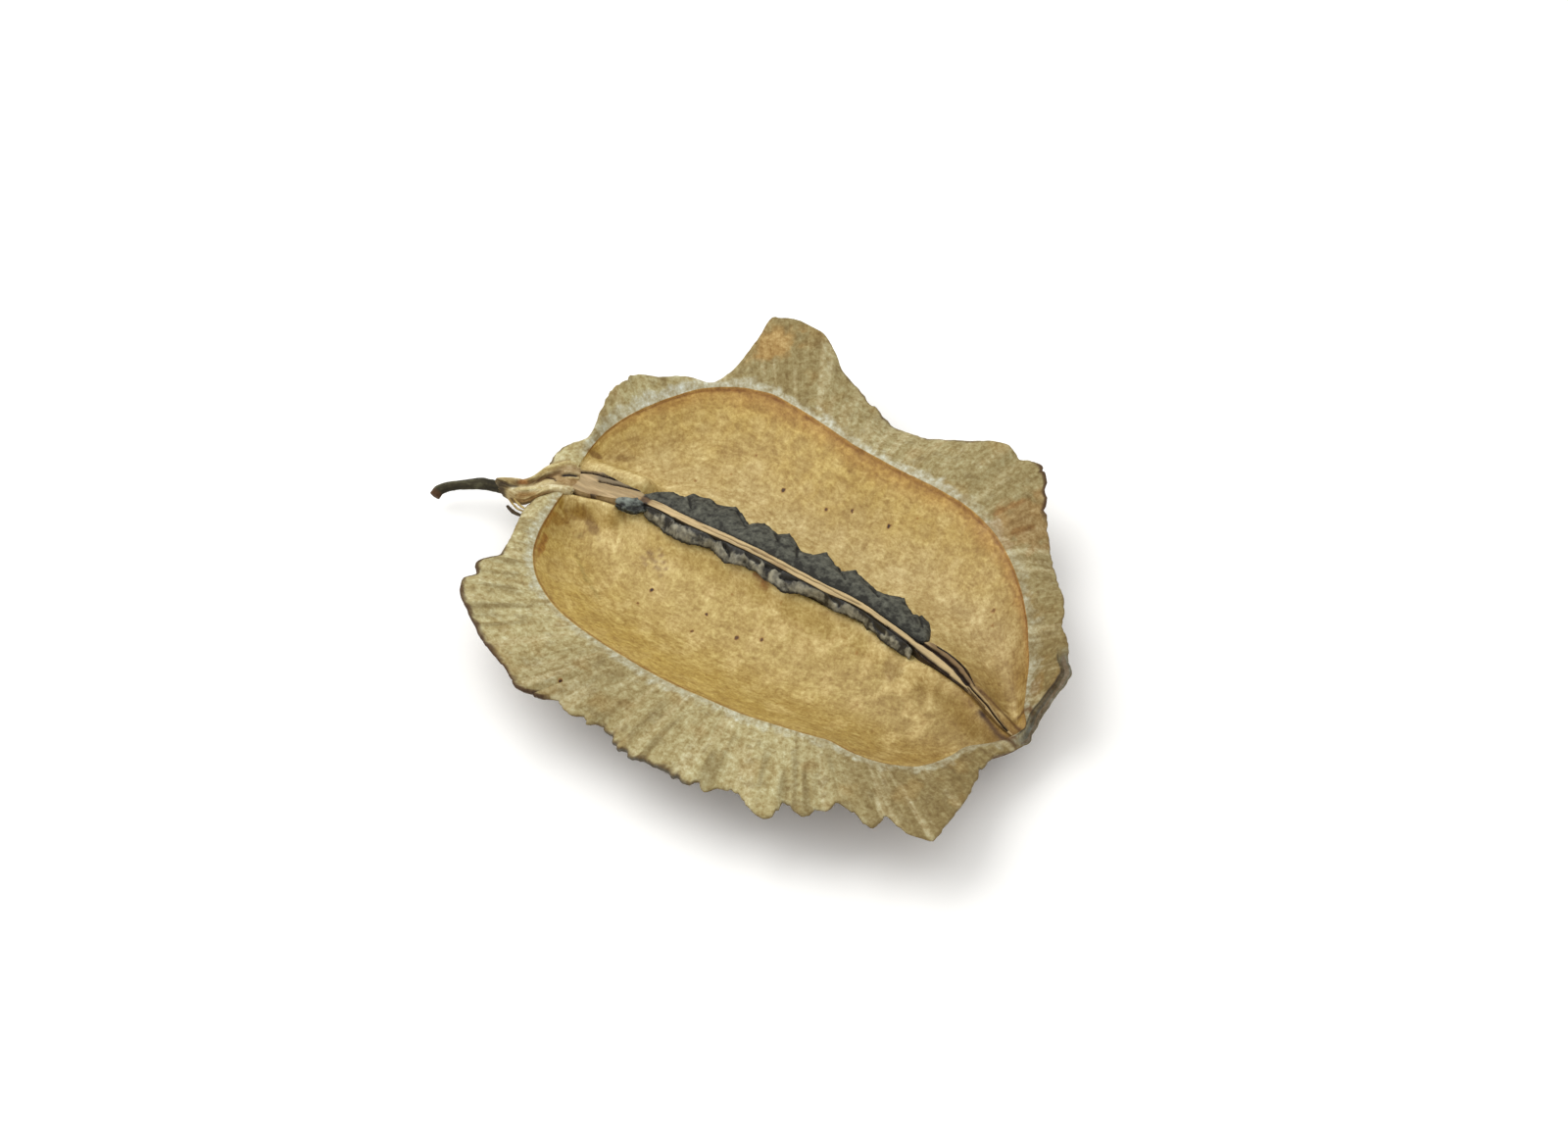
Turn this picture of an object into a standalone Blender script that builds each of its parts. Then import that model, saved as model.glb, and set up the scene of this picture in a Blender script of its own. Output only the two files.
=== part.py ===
"""One valve of a jacaranda seed pod, lying on its convex back with the inside up.

Run it with blender --background --python part.py, or from the text editor. Metres, +Z up.
+X runs along the septum from the stalk to the tip, +Y across it, and the origin is the middle of the flat
spot that the valve rests on.
"""

import math

import bmesh
import bpy
import numpy as np
from mathutils import Vector

MM = 0.001

# Driving sizes of the valve
HALF_LENGTH = 29.0 * MM      # septum middle to the end of the hollows
HALF_WIDTH = 18.0 * MM       # septum to the side of a hollow
RIM_PLANE = 7.4 * MM         # height of the hollows' edge above the ground, at mid-length
END_DROP = 2.2 * MM          # how much lower that edge is at the stalk and at the tip
HOLLOW_DIP = 4.1 * MM        # depth of each seed hollow under the line from the septum to its edge
MARGIN_THICKNESS = 0.8 * MM  # at the wavy margin
NECK_THICKENING = 1.2 * MM   # more of it where the margin meets the stalk
NECK_SPREAD = 0.16           # radians of bearing on each side of the stalk
SHOULDER_THICKNESS = 2.8 * MM  # under the edge of the hollows
FLAT_CUT = 0.4 * MM          # how far the round back is worn flat where it rests
KEEL_RISE = 3.3 * MM         # rise of the back's middle line towards both ends
RIM_BULGE = 0.25 * MM        # how much the rim between edge and margin is rounded upward

# The raised strip in the middle that carries the septum
STRIP_HALF_LENGTH = 27.5 * MM
STRIP_DROP = 1.6 * MM        # below the rim plane at mid-length
STRIP_END_DROP = 1.2 * MM    # further drop of the strip at its ends
STRIP_END_SHARE = 0.3        # how far the strip's rounded ends reach, as a share of its half width
SEPTUM_SIDE_GAP = 0.4 * MM   # strip that shows on each side of the septum's foot
BAND_HALF_WIDTH = 1.45 * MM  # of the septum at the stalk
RIDGE_HALF_WIDTH = 0.42 * MM  # and between the flaps
TIP_THICKENING = 0.4 * MM    # where the ridge parts into ribs, beyond the flaps

# The septum's middle line: x and y in millimetres, from the stalk to the tip
SEPTUM_LINE = (
    (-27.5, 0.0), (-24.6, 0.0), (-22.3, 0.1), (-18.7, 0.5), (-15.8, 0.35), (-11.6, 0.3), (-5.3, 0.35),
    (-1.2, 0.25), (2.9, 0.2), (5.8, 0.5), (7.8, 0.55), (9.7, 0.3), (11.7, 0.0), (15.4, -0.3), (18.2, -0.4),
    (20.1, -0.6), (22.0, -1.0), (23.0, -1.35), (25.0, -1.95), (26.5, -2.3), (28.0, -2.45),
)

# Septum: a thin plate with an arched top edge and a flat band at the stalk end
CLEARANCE = 0.3 * MM
SEPTUM_FROM, SEPTUM_TO = -27.2 * MM, 27.0 * MM
SEPTUM_CREST = 1.8 * MM      # top edge above the rim plane at mid-length
SEPTUM_ARCH = 4.0 * MM       # how much lower the top edge is at the ends
SEPTUM_ARCH_MIDDLE = 1.5 * MM
LEAST_SEPTUM_HEIGHT = 0.6 * MM
TIP_RIDGE_HEIGHT = 1.3 * MM  # top edge over the strip beyond the flaps, where the strip rises to meet it

# The wavy margin: x, y and height over the rim plane, in millimetres, at each crest, dip, corner and
# tooth, counter-clockwise from the tip.
MARGIN = (
    (29.2, -2.5, -2.2), (29.0, 0.7, -1.0), (29.4, 2.8, 0.5), (29.5, 5.4, 1.8), (28.2, 6.9, 1.5),
    (25.3, 10.4, 0.5), (23.4, 13.6, 0.5), (21.3, 15.6, -0.5), (18.5, 18.6, -1.0), (15.2, 22.5, 0.5),
    (14.0, 24.5, 1.5), (11.7, 26.2, 2.2), (9.6, 25.9, 1.5), (8.5, 26.4, 2.0), (6.2, 26.2, 1.5),
    (3.1, 25.5, 0.5), (-0.9, 24.5, -0.8), (-4.2, 24.3, -1.5), (-7.2, 24.7, -0.5), (-12.5, 25.9, 1.0),
    (-14.5, 27.2, 2.0), (-16.8, 28.0, 2.6), (-19.3, 28.0, 2.6), (-22.1, 27.1, 2.2), (-22.2, 24.5, 1.5),
    (-22.4, 21.2, 0.3), (-23.8, 18.0, -0.8), (-26.0, 16.5, 0.0), (-28.0, 14.5, 0.5), (-30.4, 12.7, 0.8),
    (-31.1, 10.2, 0.5), (-30.7, 7.7, -0.3), (-30.2, 4.9, -1.4), (-32.1, 2.9, -2.4), (-32.2, 1.2, -2.7),
    (-31.8, -0.1, -2.8), (-30.5, -1.3, -2.9), (-29.7, -2.3, -2.9), (-30.3, -4.4, -2.6), (-30.2, -6.1, -2.2),
    (-29.2, -8.9, -1.6), (-28.2, -11.8, -1.0), (-27.6, -14.0, -0.5), (-28.4, -17.1, 0.5), (-27.7, -17.9, 0.3),
    (-28.1, -19.4, 0.8), (-27.3, -21.0, 1.0), (-25.0, -22.8, 1.2), (-20.1, -25.6, 1.2), (-17.2, -26.7, 1.0),
    (-14.1, -28.3, 1.4), (-13.1, -27.6, 1.2), (-12.7, -26.5, 0.4), (-10.9, -26.5, 0.3), (-8.7, -27.3, 0.0),
    (-5.2, -26.7, -0.4), (-1.2, -28.0, 0.0), (1.6, -27.6, 0.2), (7.6, -27.3, 0.0), (8.8, -25.7, -0.3),
    (10.4, -25.7, -0.3), (13.6, -26.9, 0.0), (15.0, -25.8, 0.0), (14.8, -24.1, -0.2), (17.2, -24.5, 0.2),
    (18.4, -22.9, 0.2), (20.1, -21.4, 0.3), (24.0, -21.8, 0.6), (24.5, -20.0, 0.6), (27.4, -20.6, 0.9),
    (29.8, -20.1, 1.2), (29.8, -17.8, 0.8), (29.5, -14.5, 0.2), (28.6, -10.4, -0.8), (28.0, -8.1, -1.2),
    (28.3, -5.3, -1.8),
)

# The edge of the golden hollows: x and y in millimetres, counter-clockwise from the tip
HOLLOW_EDGE = (
    (28.2, -1.0), (26.6, 1.4), (24.9, 4.6), (23.3, 7.2), (21.0, 10.3), (18.3, 13.1), (15.3, 15.5),
    (12.3, 17.2), (8.5, 18.4), (4.5, 18.7), (-0.5, 18.6), (-5.5, 18.7), (-10.5, 19.3), (-14.5, 19.7),
    (-17.6, 19.7), (-20.5, 18.8), (-23.5, 16.9), (-26.1, 13.8), (-28.0, 10.7), (-29.1, 7.7),
    (-29.4, 4.7), (-29.0, 1.5), (-28.2, -1.6), (-27.6, -5.2), (-26.6, -8.8), (-24.9, -12.0),
    (-22.3, -14.5), (-19.7, -16.0), (-16.6, -17.0), (-12.5, -17.6), (-8.5, -17.9), (-3.5, -18.0),
    (1.5, -17.5), (5.5, -17.0), (9.5, -16.0), (13.3, -14.9), (17.2, -14.5), (20.1, -13.6),
    (22.1, -12.4), (23.6, -10.6), (24.4, -8.6), (25.1, -6.3), (26.8, -4.3),
)

# Stalk: x, y, height above the ground and radius, in millimetres, from the pod to the cut end
STALK = (
    (-31.4, -2.1, 4.0, 0.75), (-32.0, -2.5, 4.0, 0.72), (-33.1, -3.5, 3.8, 0.66), (-34.1, -4.2, 3.6, 0.64),
    (-35.2, -4.5, 3.5, 0.66), (-36.5, -4.9, 3.4, 0.68), (-37.9, -5.6, 3.1, 0.60), (-39.2, -6.4, 2.8, 0.56),
    (-40.1, -7.1, 2.5, 0.58), (-40.5, -7.8, 2.3, 0.62), (-40.5, -8.4, 2.1, 0.64),
)

# Septum and flaps in section: (across, up) and (across, thickness), each round its own edge
SEPTUM_SECTION = (
    (1, 0), (1, 0.4), (1, 0.78), (0.7, 0.95), (0, 1), (-0.7, 0.95), (-1, 0.78), (-1, 0.4), (-1, 0), (0, 0),
)
PLACENTA_SECTION = (
    (0, 1), (0.25, 1), (0.55, 0.95), (0.85, 0.9), (1, 0), (0.85, -0.9), (0.55, -0.95), (0.25, -1), (0, -1),
    (0, 0),
)
PLACENTA_THICKNESS = 0.7 * MM
PLACENTA_ROOT_DROP = 0.75 * MM  # middle of a flap's root under the septum's top edge
PLACENTA_ARCH = 0.35 * MM
FAR_DROP, NEAR_DROP = 1.0 * MM, 0.7 * MM  # how much lower a flap's edge hangs than its root
LEAST_FLAP = 0.45 * MM       # width of a flap at its ends and in its deepest dips

# Scalloped edges of the flaps: x and y in millimetres at each lobe and dip
FAR_EDGE = (
    (-20.6, 1.7), (-19.6, 3.0), (-18.4, 3.6), (-16.8, 3.5), (-16.4, 4.3), (-14.6, 4.6), (-13.0, 4.4),
    (-11.4, 4.9), (-10.3, 4.5), (-8.8, 3.6), (-8.1, 4.2), (-7.5, 4.6), (-6.3, 4.2), (-5.4, 4.0), (-4.5, 4.7),
    (-3.6, 4.2), (-2.2, 3.5), (-0.9, 3.6), (0.2, 4.7), (1.2, 4.1), (2.8, 3.5), (4.0, 4.4), (5.5, 4.0),
    (7.2, 3.5), (8.4, 3.8), (9.9, 4.4), (11.1, 3.7), (11.8, 3.4), (12.5, 3.8), (13.5, 3.5), (14.3, 2.8),
    (15.0, 1.6),
)
NEAR_EDGE = (
    (-19.4, -0.3), (-18.2, -0.7), (-16.0, -1.3), (-14.9, -1.5), (-12.8, -1.5), (-11.2, -1.2), (-10.4, -1.0),
    (-9.3, -1.4), (-8.0, -1.8), (-7.0, -1.6), (-6.0, -1.2), (-4.9, -1.2), (-3.9, -1.4), (-2.9, -1.6),
    (-1.4, -1.9), (-0.3, -1.7), (0.7, -1.3), (2.2, -0.8), (3.7, -0.7), (5.3, -1.0), (6.3, -0.7), (7.7, -0.5),
    (9.2, -0.7), (10.8, -1.0), (11.9, -1.2), (13.3, -1.3), (14.6, -1.4),
)

# How finely each piece is cut
SEPTUM_STATIONS = 60
PLACENTA_STATIONS = 72
COLUMNS = 144
COLUMN_CROWDING = 0.15
FLOOR_RINGS = (0.06, 0.13, 0.21, 0.30, 0.40, 0.50, 0.60, 0.70, 0.80, 0.88, 0.95, 1.0)
RIM_RINGS = (1.12, 1.3, 1.5, 1.7, 1.86, 2.0)
BACK_RINGS = (2.0, 1.75, 1.4, 1.1, 0.92, 0.78, 0.64, 0.5, 0.37, 0.25, 0.13)


def clear_scene():
    for old in list(bpy.data.objects):
        bpy.data.objects.remove(old)


def curve_through(places, values):
    """A smooth curve through the values at these places, which never overshoots them.

    Between neighbours it is a cubic whose slopes are the harmonic mean of the slopes on both sides, or zero
    at a crest, a dip or an end.
    """
    x = np.asarray(places, float)
    y = np.asarray(values, float)
    step = np.diff(x)
    rise = np.diff(y) / step
    before, after = rise[:-1], rise[1:]
    level = before * after <= 0
    total = np.where(level, 1.0, before + after)
    slope = np.concatenate([[0.0], np.where(level, 0.0, 2 * before * after / total), [0.0]])

    def at(place):
        p = min(max(place, x[0]), x[-1])
        i = int(np.clip(np.searchsorted(x, p) - 1, 0, len(x) - 2))
        t = (p - x[i]) / step[i]
        return (
            (1 + 2 * t) * (1 - t) ** 2 * y[i]
            + t * (1 - t) ** 2 * step[i] * slope[i]
            + t * t * (3 - 2 * t) * y[i + 1]
            + t * t * (t - 1) * step[i] * slope[i + 1]
        )

    return at


def curve_round(bearings, values):
    """The same for values all the way round, so that the curve closes smoothly."""
    order = np.argsort(bearings)
    x = np.asarray(bearings, float)[order]
    y = np.asarray(values, float)[order]
    x = np.concatenate([x[-2:] - math.tau, x, x[:2] + math.tau])
    y = np.concatenate([y[-2:], y, y[:2]])
    curve = curve_through(x, y)
    return lambda bearing: curve((bearing + math.pi) % math.tau - math.pi)


def oval_polar(points):
    """Bearing and reach of each point, measured on the oval of the hollows, whose own reach is 1."""
    x = np.array([p[0] for p in points]) * MM / HALF_LENGTH
    y = np.array([p[1] for p in points]) * MM / HALF_WIDTH
    return np.arctan2(y, x), np.hypot(x, y)


margin_bearing, margin_reach = oval_polar(MARGIN)
margin_reach_at = curve_round(margin_bearing, margin_reach)
margin_height_at = curve_round(margin_bearing, [row[2] * MM for row in MARGIN])
edge_reach_at = curve_round(*oval_polar(HOLLOW_EDGE))
septum_line = curve_through([row[0] * MM for row in SEPTUM_LINE], [row[1] * MM for row in SEPTUM_LINE])


def on_oval(bearing, reach):
    return Vector((HALF_LENGTH * math.cos(bearing) * reach, HALF_WIDTH * math.sin(bearing) * reach))


def blend(a, b, t):
    return a + (b - a) * t


def smooth_step(low, high, value):
    t = min(max((value - low) / (high - low), 0.0), 1.0)
    return t * t * (3 - 2 * t)


def septum_half_width(x):
    """The band at the stalk is broad, the ridge is thin, and it thickens a little beyond the flaps."""
    band = blend(BAND_HALF_WIDTH, RIDGE_HALF_WIDTH, smooth_step(-28.5 * MM, -19.5 * MM, x))
    swell = smooth_step(13 * MM, 17 * MM, x) - 0.6 * smooth_step(19 * MM, 24 * MM, x)
    return band + TIP_THICKENING * swell


def crest_height(x):
    """Arched line of the septum's top edge."""
    return RIM_PLANE + SEPTUM_CREST - SEPTUM_ARCH * ((x - SEPTUM_ARCH_MIDDLE) / HALF_LENGTH) ** 2


def strip_height(x):
    level = RIM_PLANE - STRIP_DROP - STRIP_END_DROP * (x / STRIP_HALF_LENGTH) ** 2
    near_tip = max(level, crest_height(x) - TIP_RIDGE_HEIGHT)
    return blend(level, near_tip, smooth_step(2 * MM, 21 * MM, x))


def edge_height(bearing):
    return RIM_PLANE - END_DROP * abs(math.cos(bearing)) ** 3


def strip_point(bearing):
    """Point of the septum's line that a ray of this bearing starts from."""
    x = STRIP_HALF_LENGTH * math.cos(bearing)
    return Vector((x, septum_line(x)))


def plan_point(bearing, ring):
    """Ring 0 is the strip's side, 1 the edge of the hollow and 2 the margin."""
    start = strip_point(bearing)
    half = septum_half_width(start.x) + SEPTUM_SIDE_GAP
    side = start + half * Vector((STRIP_END_SHARE * math.cos(bearing), math.sin(bearing)))
    edge = on_oval(bearing, edge_reach_at(bearing))
    if ring <= 1:
        return blend(side, edge, ring)
    return blend(edge, on_oval(bearing, margin_reach_at(bearing)), ring - 1)


def inside_height(bearing, ring):
    """Height of the valve's inner face: a rounded trough from the strip to the edge, then the rim."""
    edge = edge_height(bearing)
    if ring > 1:
        t = ring - 1
        margin = RIM_PLANE + margin_height_at(bearing)
        return blend(edge, margin, t ** 1.5) + RIM_BULGE * math.sin(math.pi * t)
    strip = strip_height(STRIP_HALF_LENGTH * math.cos(bearing))
    dip = HOLLOW_DIP * abs(math.sin(bearing)) ** 0.9
    return blend(strip, edge, ring ** 1.6) - dip * math.sin(math.pi * ring ** 0.95) ** 1.15


def back_height(bearing, ring):
    """Height of the valve's outer face: a shallow dome, worn flat in the middle where it rests."""
    shoulder = edge_height(bearing) - SHOULDER_THICKNESS
    if ring > 1:
        from_stalk = abs(bearing % math.tau - math.pi)
        margin = MARGIN_THICKNESS + NECK_THICKENING * math.exp(-((from_stalk / NECK_SPREAD) ** 2))
        thickness = blend(SHOULDER_THICKNESS, margin, (ring - 1) ** 0.8)
        return inside_height(bearing, ring) - thickness
    keel = KEEL_RISE * abs(math.cos(bearing)) ** 2.4
    return max(0.0, blend(keel, shoulder + FLAT_CUT, ring ** 2.2) - FLAT_CUT)


def new_material(name, colour, roughness):
    material = bpy.data.materials.new(name)
    material.use_nodes = True
    shader = material.node_tree.nodes["Principled BSDF"]
    shader.inputs["Base Color"].default_value = (*colour, 1.0)
    shader.inputs["Roughness"].default_value = roughness
    shader.inputs["Metallic"].default_value = 0.0
    return material


def mapped_grid(name, across, along, place, collection, material):
    """A grid of across by along cells whose corners go where place(i, j) says, welded where they meet."""
    shape = bmesh.new()
    bmesh.ops.create_grid(shape, x_segments=across, y_segments=along, size=1.0)
    for corner in shape.verts:
        i = round((corner.co.x + 1) / 2 * across)
        j = round((corner.co.y + 1) / 2 * along)
        corner.co = place(i, j)
    bmesh.ops.remove_doubles(shape, verts=shape.verts, dist=0.001 * MM)
    bmesh.ops.recalc_face_normals(shape, faces=shape.faces)
    mesh = bpy.data.meshes.new(name)
    shape.to_mesh(mesh)
    shape.free()
    mesh.shade_smooth()
    mesh.set_sharp_from_angle(angle=math.radians(50))
    mesh.materials.append(material)
    made = bpy.data.objects.new(name, mesh)
    collection.objects.link(made)
    return made


def closed_loft(name, stations, sides, place, collection, material):
    """A tube of sections placed by place(i, j), with a flat end on its first and last section."""
    made = mapped_grid(name, stations, sides, place, collection, material)
    shape = bmesh.new()
    shape.from_mesh(made.data)
    bmesh.ops.holes_fill(shape, edges=shape.edges, sides=0)
    bmesh.ops.recalc_face_normals(shape, faces=shape.faces)
    shape.to_mesh(made.data)
    shape.free()
    return made


def column_bearing(i):
    """Even steps, drawn together a little at the long sides so that the margin is cut evenly."""
    turn = math.tau * (i % COLUMNS) / COLUMNS
    return turn + COLUMN_CROWDING * math.sin(2 * turn)


def make_valve(collection):
    inner = FLOOR_RINGS + RIM_RINGS
    rings = len(inner) + 2 + len(BACK_RINGS) + 2

    def place(i, j):
        bearing = column_bearing(i)
        if j == 0:
            start = strip_point(bearing)
            return Vector((start.x, start.y, strip_height(start.x)))
        if j == 1:
            return plan_point(bearing, 0).to_3d() + Vector((0, 0, inside_height(bearing, 0)))
        if j < 2 + len(inner):
            ring = inner[j - 2]
            return plan_point(bearing, ring).to_3d() + Vector((0, 0, inside_height(bearing, ring)))
        if j < rings - 2:
            ring = BACK_RINGS[j - 2 - len(inner)]
            return plan_point(bearing, ring).to_3d() + Vector((0, 0, back_height(bearing, ring)))
        if j == rings - 2:
            return plan_point(bearing, 0).to_3d() + Vector((0, 0, back_height(bearing, 0)))
        start = strip_point(bearing)
        return Vector((start.x, start.y, back_height(bearing, 0)))

    material = new_material("dry pod wood", (0.52, 0.40, 0.22), 0.75)
    return mapped_grid("valve", COLUMNS, rings - 1, place, collection, material)


def septum_top(x):
    return max(crest_height(x), strip_height(x) + CLEARANCE + LEAST_SEPTUM_HEIGHT)


def make_septum(collection):
    """A plate on edge: flat foot, upright sides and a rounded top, drawn in to a blunt edge at both ends."""
    def place(i, j):
        share = i / SEPTUM_STATIONS
        x = blend(SEPTUM_FROM, SEPTUM_TO, share)
        half = septum_half_width(x) * min(1.0, 0.35 + 9 * share, 0.35 + 9 * (1 - share))
        foot = strip_height(x) + CLEARANCE
        top = septum_top(x)
        across, up = SEPTUM_SECTION[j % len(SEPTUM_SECTION)]
        return Vector((x, septum_line(x) + half * across, blend(foot, top, up)))

    material = new_material("septum wood", (0.55, 0.40, 0.24), 0.7)
    return closed_loft("septum", SEPTUM_STATIONS, len(SEPTUM_SECTION), place, collection, material)


def make_placenta(name, side, edge, drop, collection, material):
    """A leathery flap along one side of the septum, from its root by the ridge to a scalloped edge."""
    along = [row[0] * MM for row in edge]
    out = [row[1] * MM for row in edge]

    def place(i, j):
        x = blend(along[0], along[-1], i / PLACENTA_STATIONS)
        root = septum_line(x) + side * (septum_half_width(x) + CLEARANCE)
        reach = max(side * (float(np.interp(x, along, out)) - root), LEAST_FLAP)
        across, thick = PLACENTA_SECTION[j % len(PLACENTA_SECTION)]
        bulge = PLACENTA_ARCH * math.sin(math.pi * across)
        height = septum_top(x) - PLACENTA_ROOT_DROP - drop * across ** 1.3 + bulge
        return Vector((x, root + side * reach * across, height + 0.5 * PLACENTA_THICKNESS * thick))

    return closed_loft(name, PLACENTA_STATIONS, len(PLACENTA_SECTION), place, collection, material)


def make_stalk(collection):
    """The bent fruit stalk, a round tube that swells where it broke off and where it meets the pod."""
    line = bpy.data.curves.new("stalk", "CURVE")
    line.dimensions = "3D"
    line.bevel_depth = MM
    line.bevel_resolution = 3
    line.resolution_u = 4
    line.use_fill_caps = True
    spline = line.splines.new("NURBS")
    spline.points.add(len(STALK) - 1)
    spline.use_endpoint_u = True
    spline.order_u = 4
    for point, (x, y, z, radius) in zip(spline.points, STALK):
        point.co = (x * MM, y * MM, z * MM, 1.0)
        point.radius = radius
    line.materials.append(new_material("stalk bark", (0.09, 0.07, 0.05), 0.85))
    stalk = bpy.data.objects.new("stalk", line)
    collection.objects.link(stalk)
    return stalk


def main():
    clear_scene()
    pod = bpy.data.collections.new("jacaranda_pod_valve")
    bpy.context.scene.collection.children.link(pod)
    make_valve(pod)
    make_septum(pod)
    dark = new_material("dried placenta", (0.06, 0.065, 0.065), 0.55)
    make_placenta("placenta_far", 1, FAR_EDGE, FAR_DROP, pod, dark)
    make_placenta("placenta_near", -1, NEAR_EDGE, NEAR_DROP, pod, dark)
    make_stalk(pod)


main()
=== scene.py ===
# %% [markdown]
# # One valve of a jacaranda seed pod
#
# A jacaranda pod is a flat woody purse. When it is ripe it splits into two valves, and this is one of them,
# lying on its round back with the inside up. A ridge, the septum, runs along the middle from the stalk to the
# tip. Winged seeds lay in the two golden hollows beside it, and the dark leathery flaps on the ridge are
# what held them.
#
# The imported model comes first, as a fixed frame in metres. Everything else is placed by the same numbers as
# its solids: +X from the stalk to the tip, +Y across the pod, +Z up.

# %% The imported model
import math

import bpy
import numpy as np
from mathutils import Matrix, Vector


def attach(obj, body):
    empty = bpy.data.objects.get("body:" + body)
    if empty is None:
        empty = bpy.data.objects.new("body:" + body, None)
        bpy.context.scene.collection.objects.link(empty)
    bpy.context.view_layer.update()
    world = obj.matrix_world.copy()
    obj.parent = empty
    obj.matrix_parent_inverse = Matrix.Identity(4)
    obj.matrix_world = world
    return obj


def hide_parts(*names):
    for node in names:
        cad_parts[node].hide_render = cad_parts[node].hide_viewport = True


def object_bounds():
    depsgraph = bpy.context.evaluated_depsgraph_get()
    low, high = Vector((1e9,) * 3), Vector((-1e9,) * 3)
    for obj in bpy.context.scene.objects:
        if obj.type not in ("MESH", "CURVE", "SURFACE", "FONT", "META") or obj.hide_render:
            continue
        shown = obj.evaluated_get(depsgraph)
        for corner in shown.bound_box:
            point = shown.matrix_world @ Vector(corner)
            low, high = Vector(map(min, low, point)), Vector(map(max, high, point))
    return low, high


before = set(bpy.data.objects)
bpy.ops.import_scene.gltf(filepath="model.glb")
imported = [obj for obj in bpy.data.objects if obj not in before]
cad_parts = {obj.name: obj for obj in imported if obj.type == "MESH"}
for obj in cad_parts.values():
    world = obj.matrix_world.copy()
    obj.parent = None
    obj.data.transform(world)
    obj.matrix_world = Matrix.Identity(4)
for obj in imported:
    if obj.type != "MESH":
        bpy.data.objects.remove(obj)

MM = 0.001
cad_box = [list(map(float, corner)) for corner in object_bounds()]
print("box of the solids in mm:", np.round(np.array(cad_box) / MM, 1).tolist())

# %% [markdown]
# ## Camera, floor and light
#
# The photograph looks down at the pod at about 50 degrees from a little to its right, with a long lens, so
# the near and the far rim are drawn at almost the same scale. A 135 mm lens 0.6 m away does that. The floor
# is a plain pale board, and the light is a large soft lamp from the left and a pale sky.

# %% Camera
LOOK_AT = Vector((-2.3, 0.6, 7.4)) * MM
AZIMUTH, ELEVATION = math.radians(35), math.radians(50)
CAMERA_DISTANCE, LENS_MM, SENSOR_MM = 0.6, 135, 36
level = math.cos(ELEVATION)
towards_camera = Vector((math.sin(AZIMUTH) * level, -math.cos(AZIMUTH) * level, math.sin(ELEVATION)))
camera_data = bpy.data.cameras.new("camera")
camera_data.lens = LENS_MM
camera_data.sensor_width = SENSOR_MM
camera_data.clip_start = 0.01
camera = bpy.data.objects.new("camera", camera_data)
camera.location = LOOK_AT + CAMERA_DISTANCE * towards_camera
camera.rotation_euler = towards_camera.to_track_quat("Z", "Y").to_euler()
bpy.context.scene.collection.objects.link(camera)
bpy.context.scene.camera = camera
print("camera stands", round(camera.location.z, 3), "m above the floor")

# %% [markdown]
# Colours are written as the hex values that a paint program shows, and one function turns them into the
# linear light that Blender calculates with. A material is a list of nodes: one function fills a node's
# inputs, with numbers or with links from other nodes, and another adds a node and fills it at once.

# %% Colour and node helpers
def linear(code):
    """sRGB hex to linear light: each channel is divided by 12.92 near black and raised to 2.4 elsewhere."""
    srgb = np.array([int(code[i:i + 2], 16) for i in (1, 3, 5)]) / 255
    return np.where(srgb <= 0.04045, srgb / 12.92, ((srgb + 0.055) / 1.055) ** 2.4)


def give(tree, node, inputs):
    """Fills a node's inputs, by name or number. A value is a number, a colour, a socket to link, or a node,
    whose first output in use is then linked."""
    for name, value in inputs.items():
        if isinstance(value, bpy.types.Node):
            value = next(socket for socket in value.outputs if socket.enabled)
        if isinstance(value, bpy.types.NodeSocket):
            tree.links.new(value, node.inputs[name])
        else:
            node.inputs[name].default_value = value


def add(tree, kind, inputs=None, **settings):
    """A new node: settings are its own properties, and its inputs are filled by give."""
    node = tree.nodes.new(kind)
    for name, value in settings.items():
        setattr(node, name, value)
    give(tree, node, inputs or {})
    return node


def new_material(name):
    """An empty material with its Principled shader, and the tree to add nodes to."""
    material = bpy.data.materials.new(name)
    material.use_nodes = True
    tree = material.node_tree
    return material, tree, tree.nodes["Principled BSDF"]


# %% [markdown]
# The floor is a matt board, painted almost white, so that the pod's shadow is all that shows on it. The lamp
# is a disc 0.6 m wide, as soft as a studio's, and an even pale sky fills the shadows.

# %% Floor and light
FLOOR_REACH = 2.0
SKY, LAMP_POWER, LAMP_SIZE, LAMP_AT = 1.05, 2.1, 0.6, (-0.36, -0.05, 0.48)
floor_material, tree, shader = new_material("pale studio board")
give(tree, shader, {"Base Color": (*linear("#f6f5f2"), 1), "Roughness": 0.9, "Specular IOR Level": 0.2})
floor_mesh = bpy.data.meshes.new("floor")
corners = [(x * FLOOR_REACH, y * FLOOR_REACH, 0) for x, y in ((-1, -1), (1, -1), (1, 1), (-1, 1))]
floor_mesh.from_pydata(corners, [], [(0, 1, 2, 3)])
floor_mesh.materials.append(floor_material)
floor = bpy.data.objects.new("floor", floor_mesh)
bpy.context.scene.collection.objects.link(floor)

world = bpy.data.worlds.new("pale sky")
world.use_nodes = True
give(world.node_tree, world.node_tree.nodes["Background"], {"Color": (1, 1, 1, 1), "Strength": SKY})
bpy.context.scene.world = world
bpy.context.scene.view_settings.view_transform = "Standard"

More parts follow.
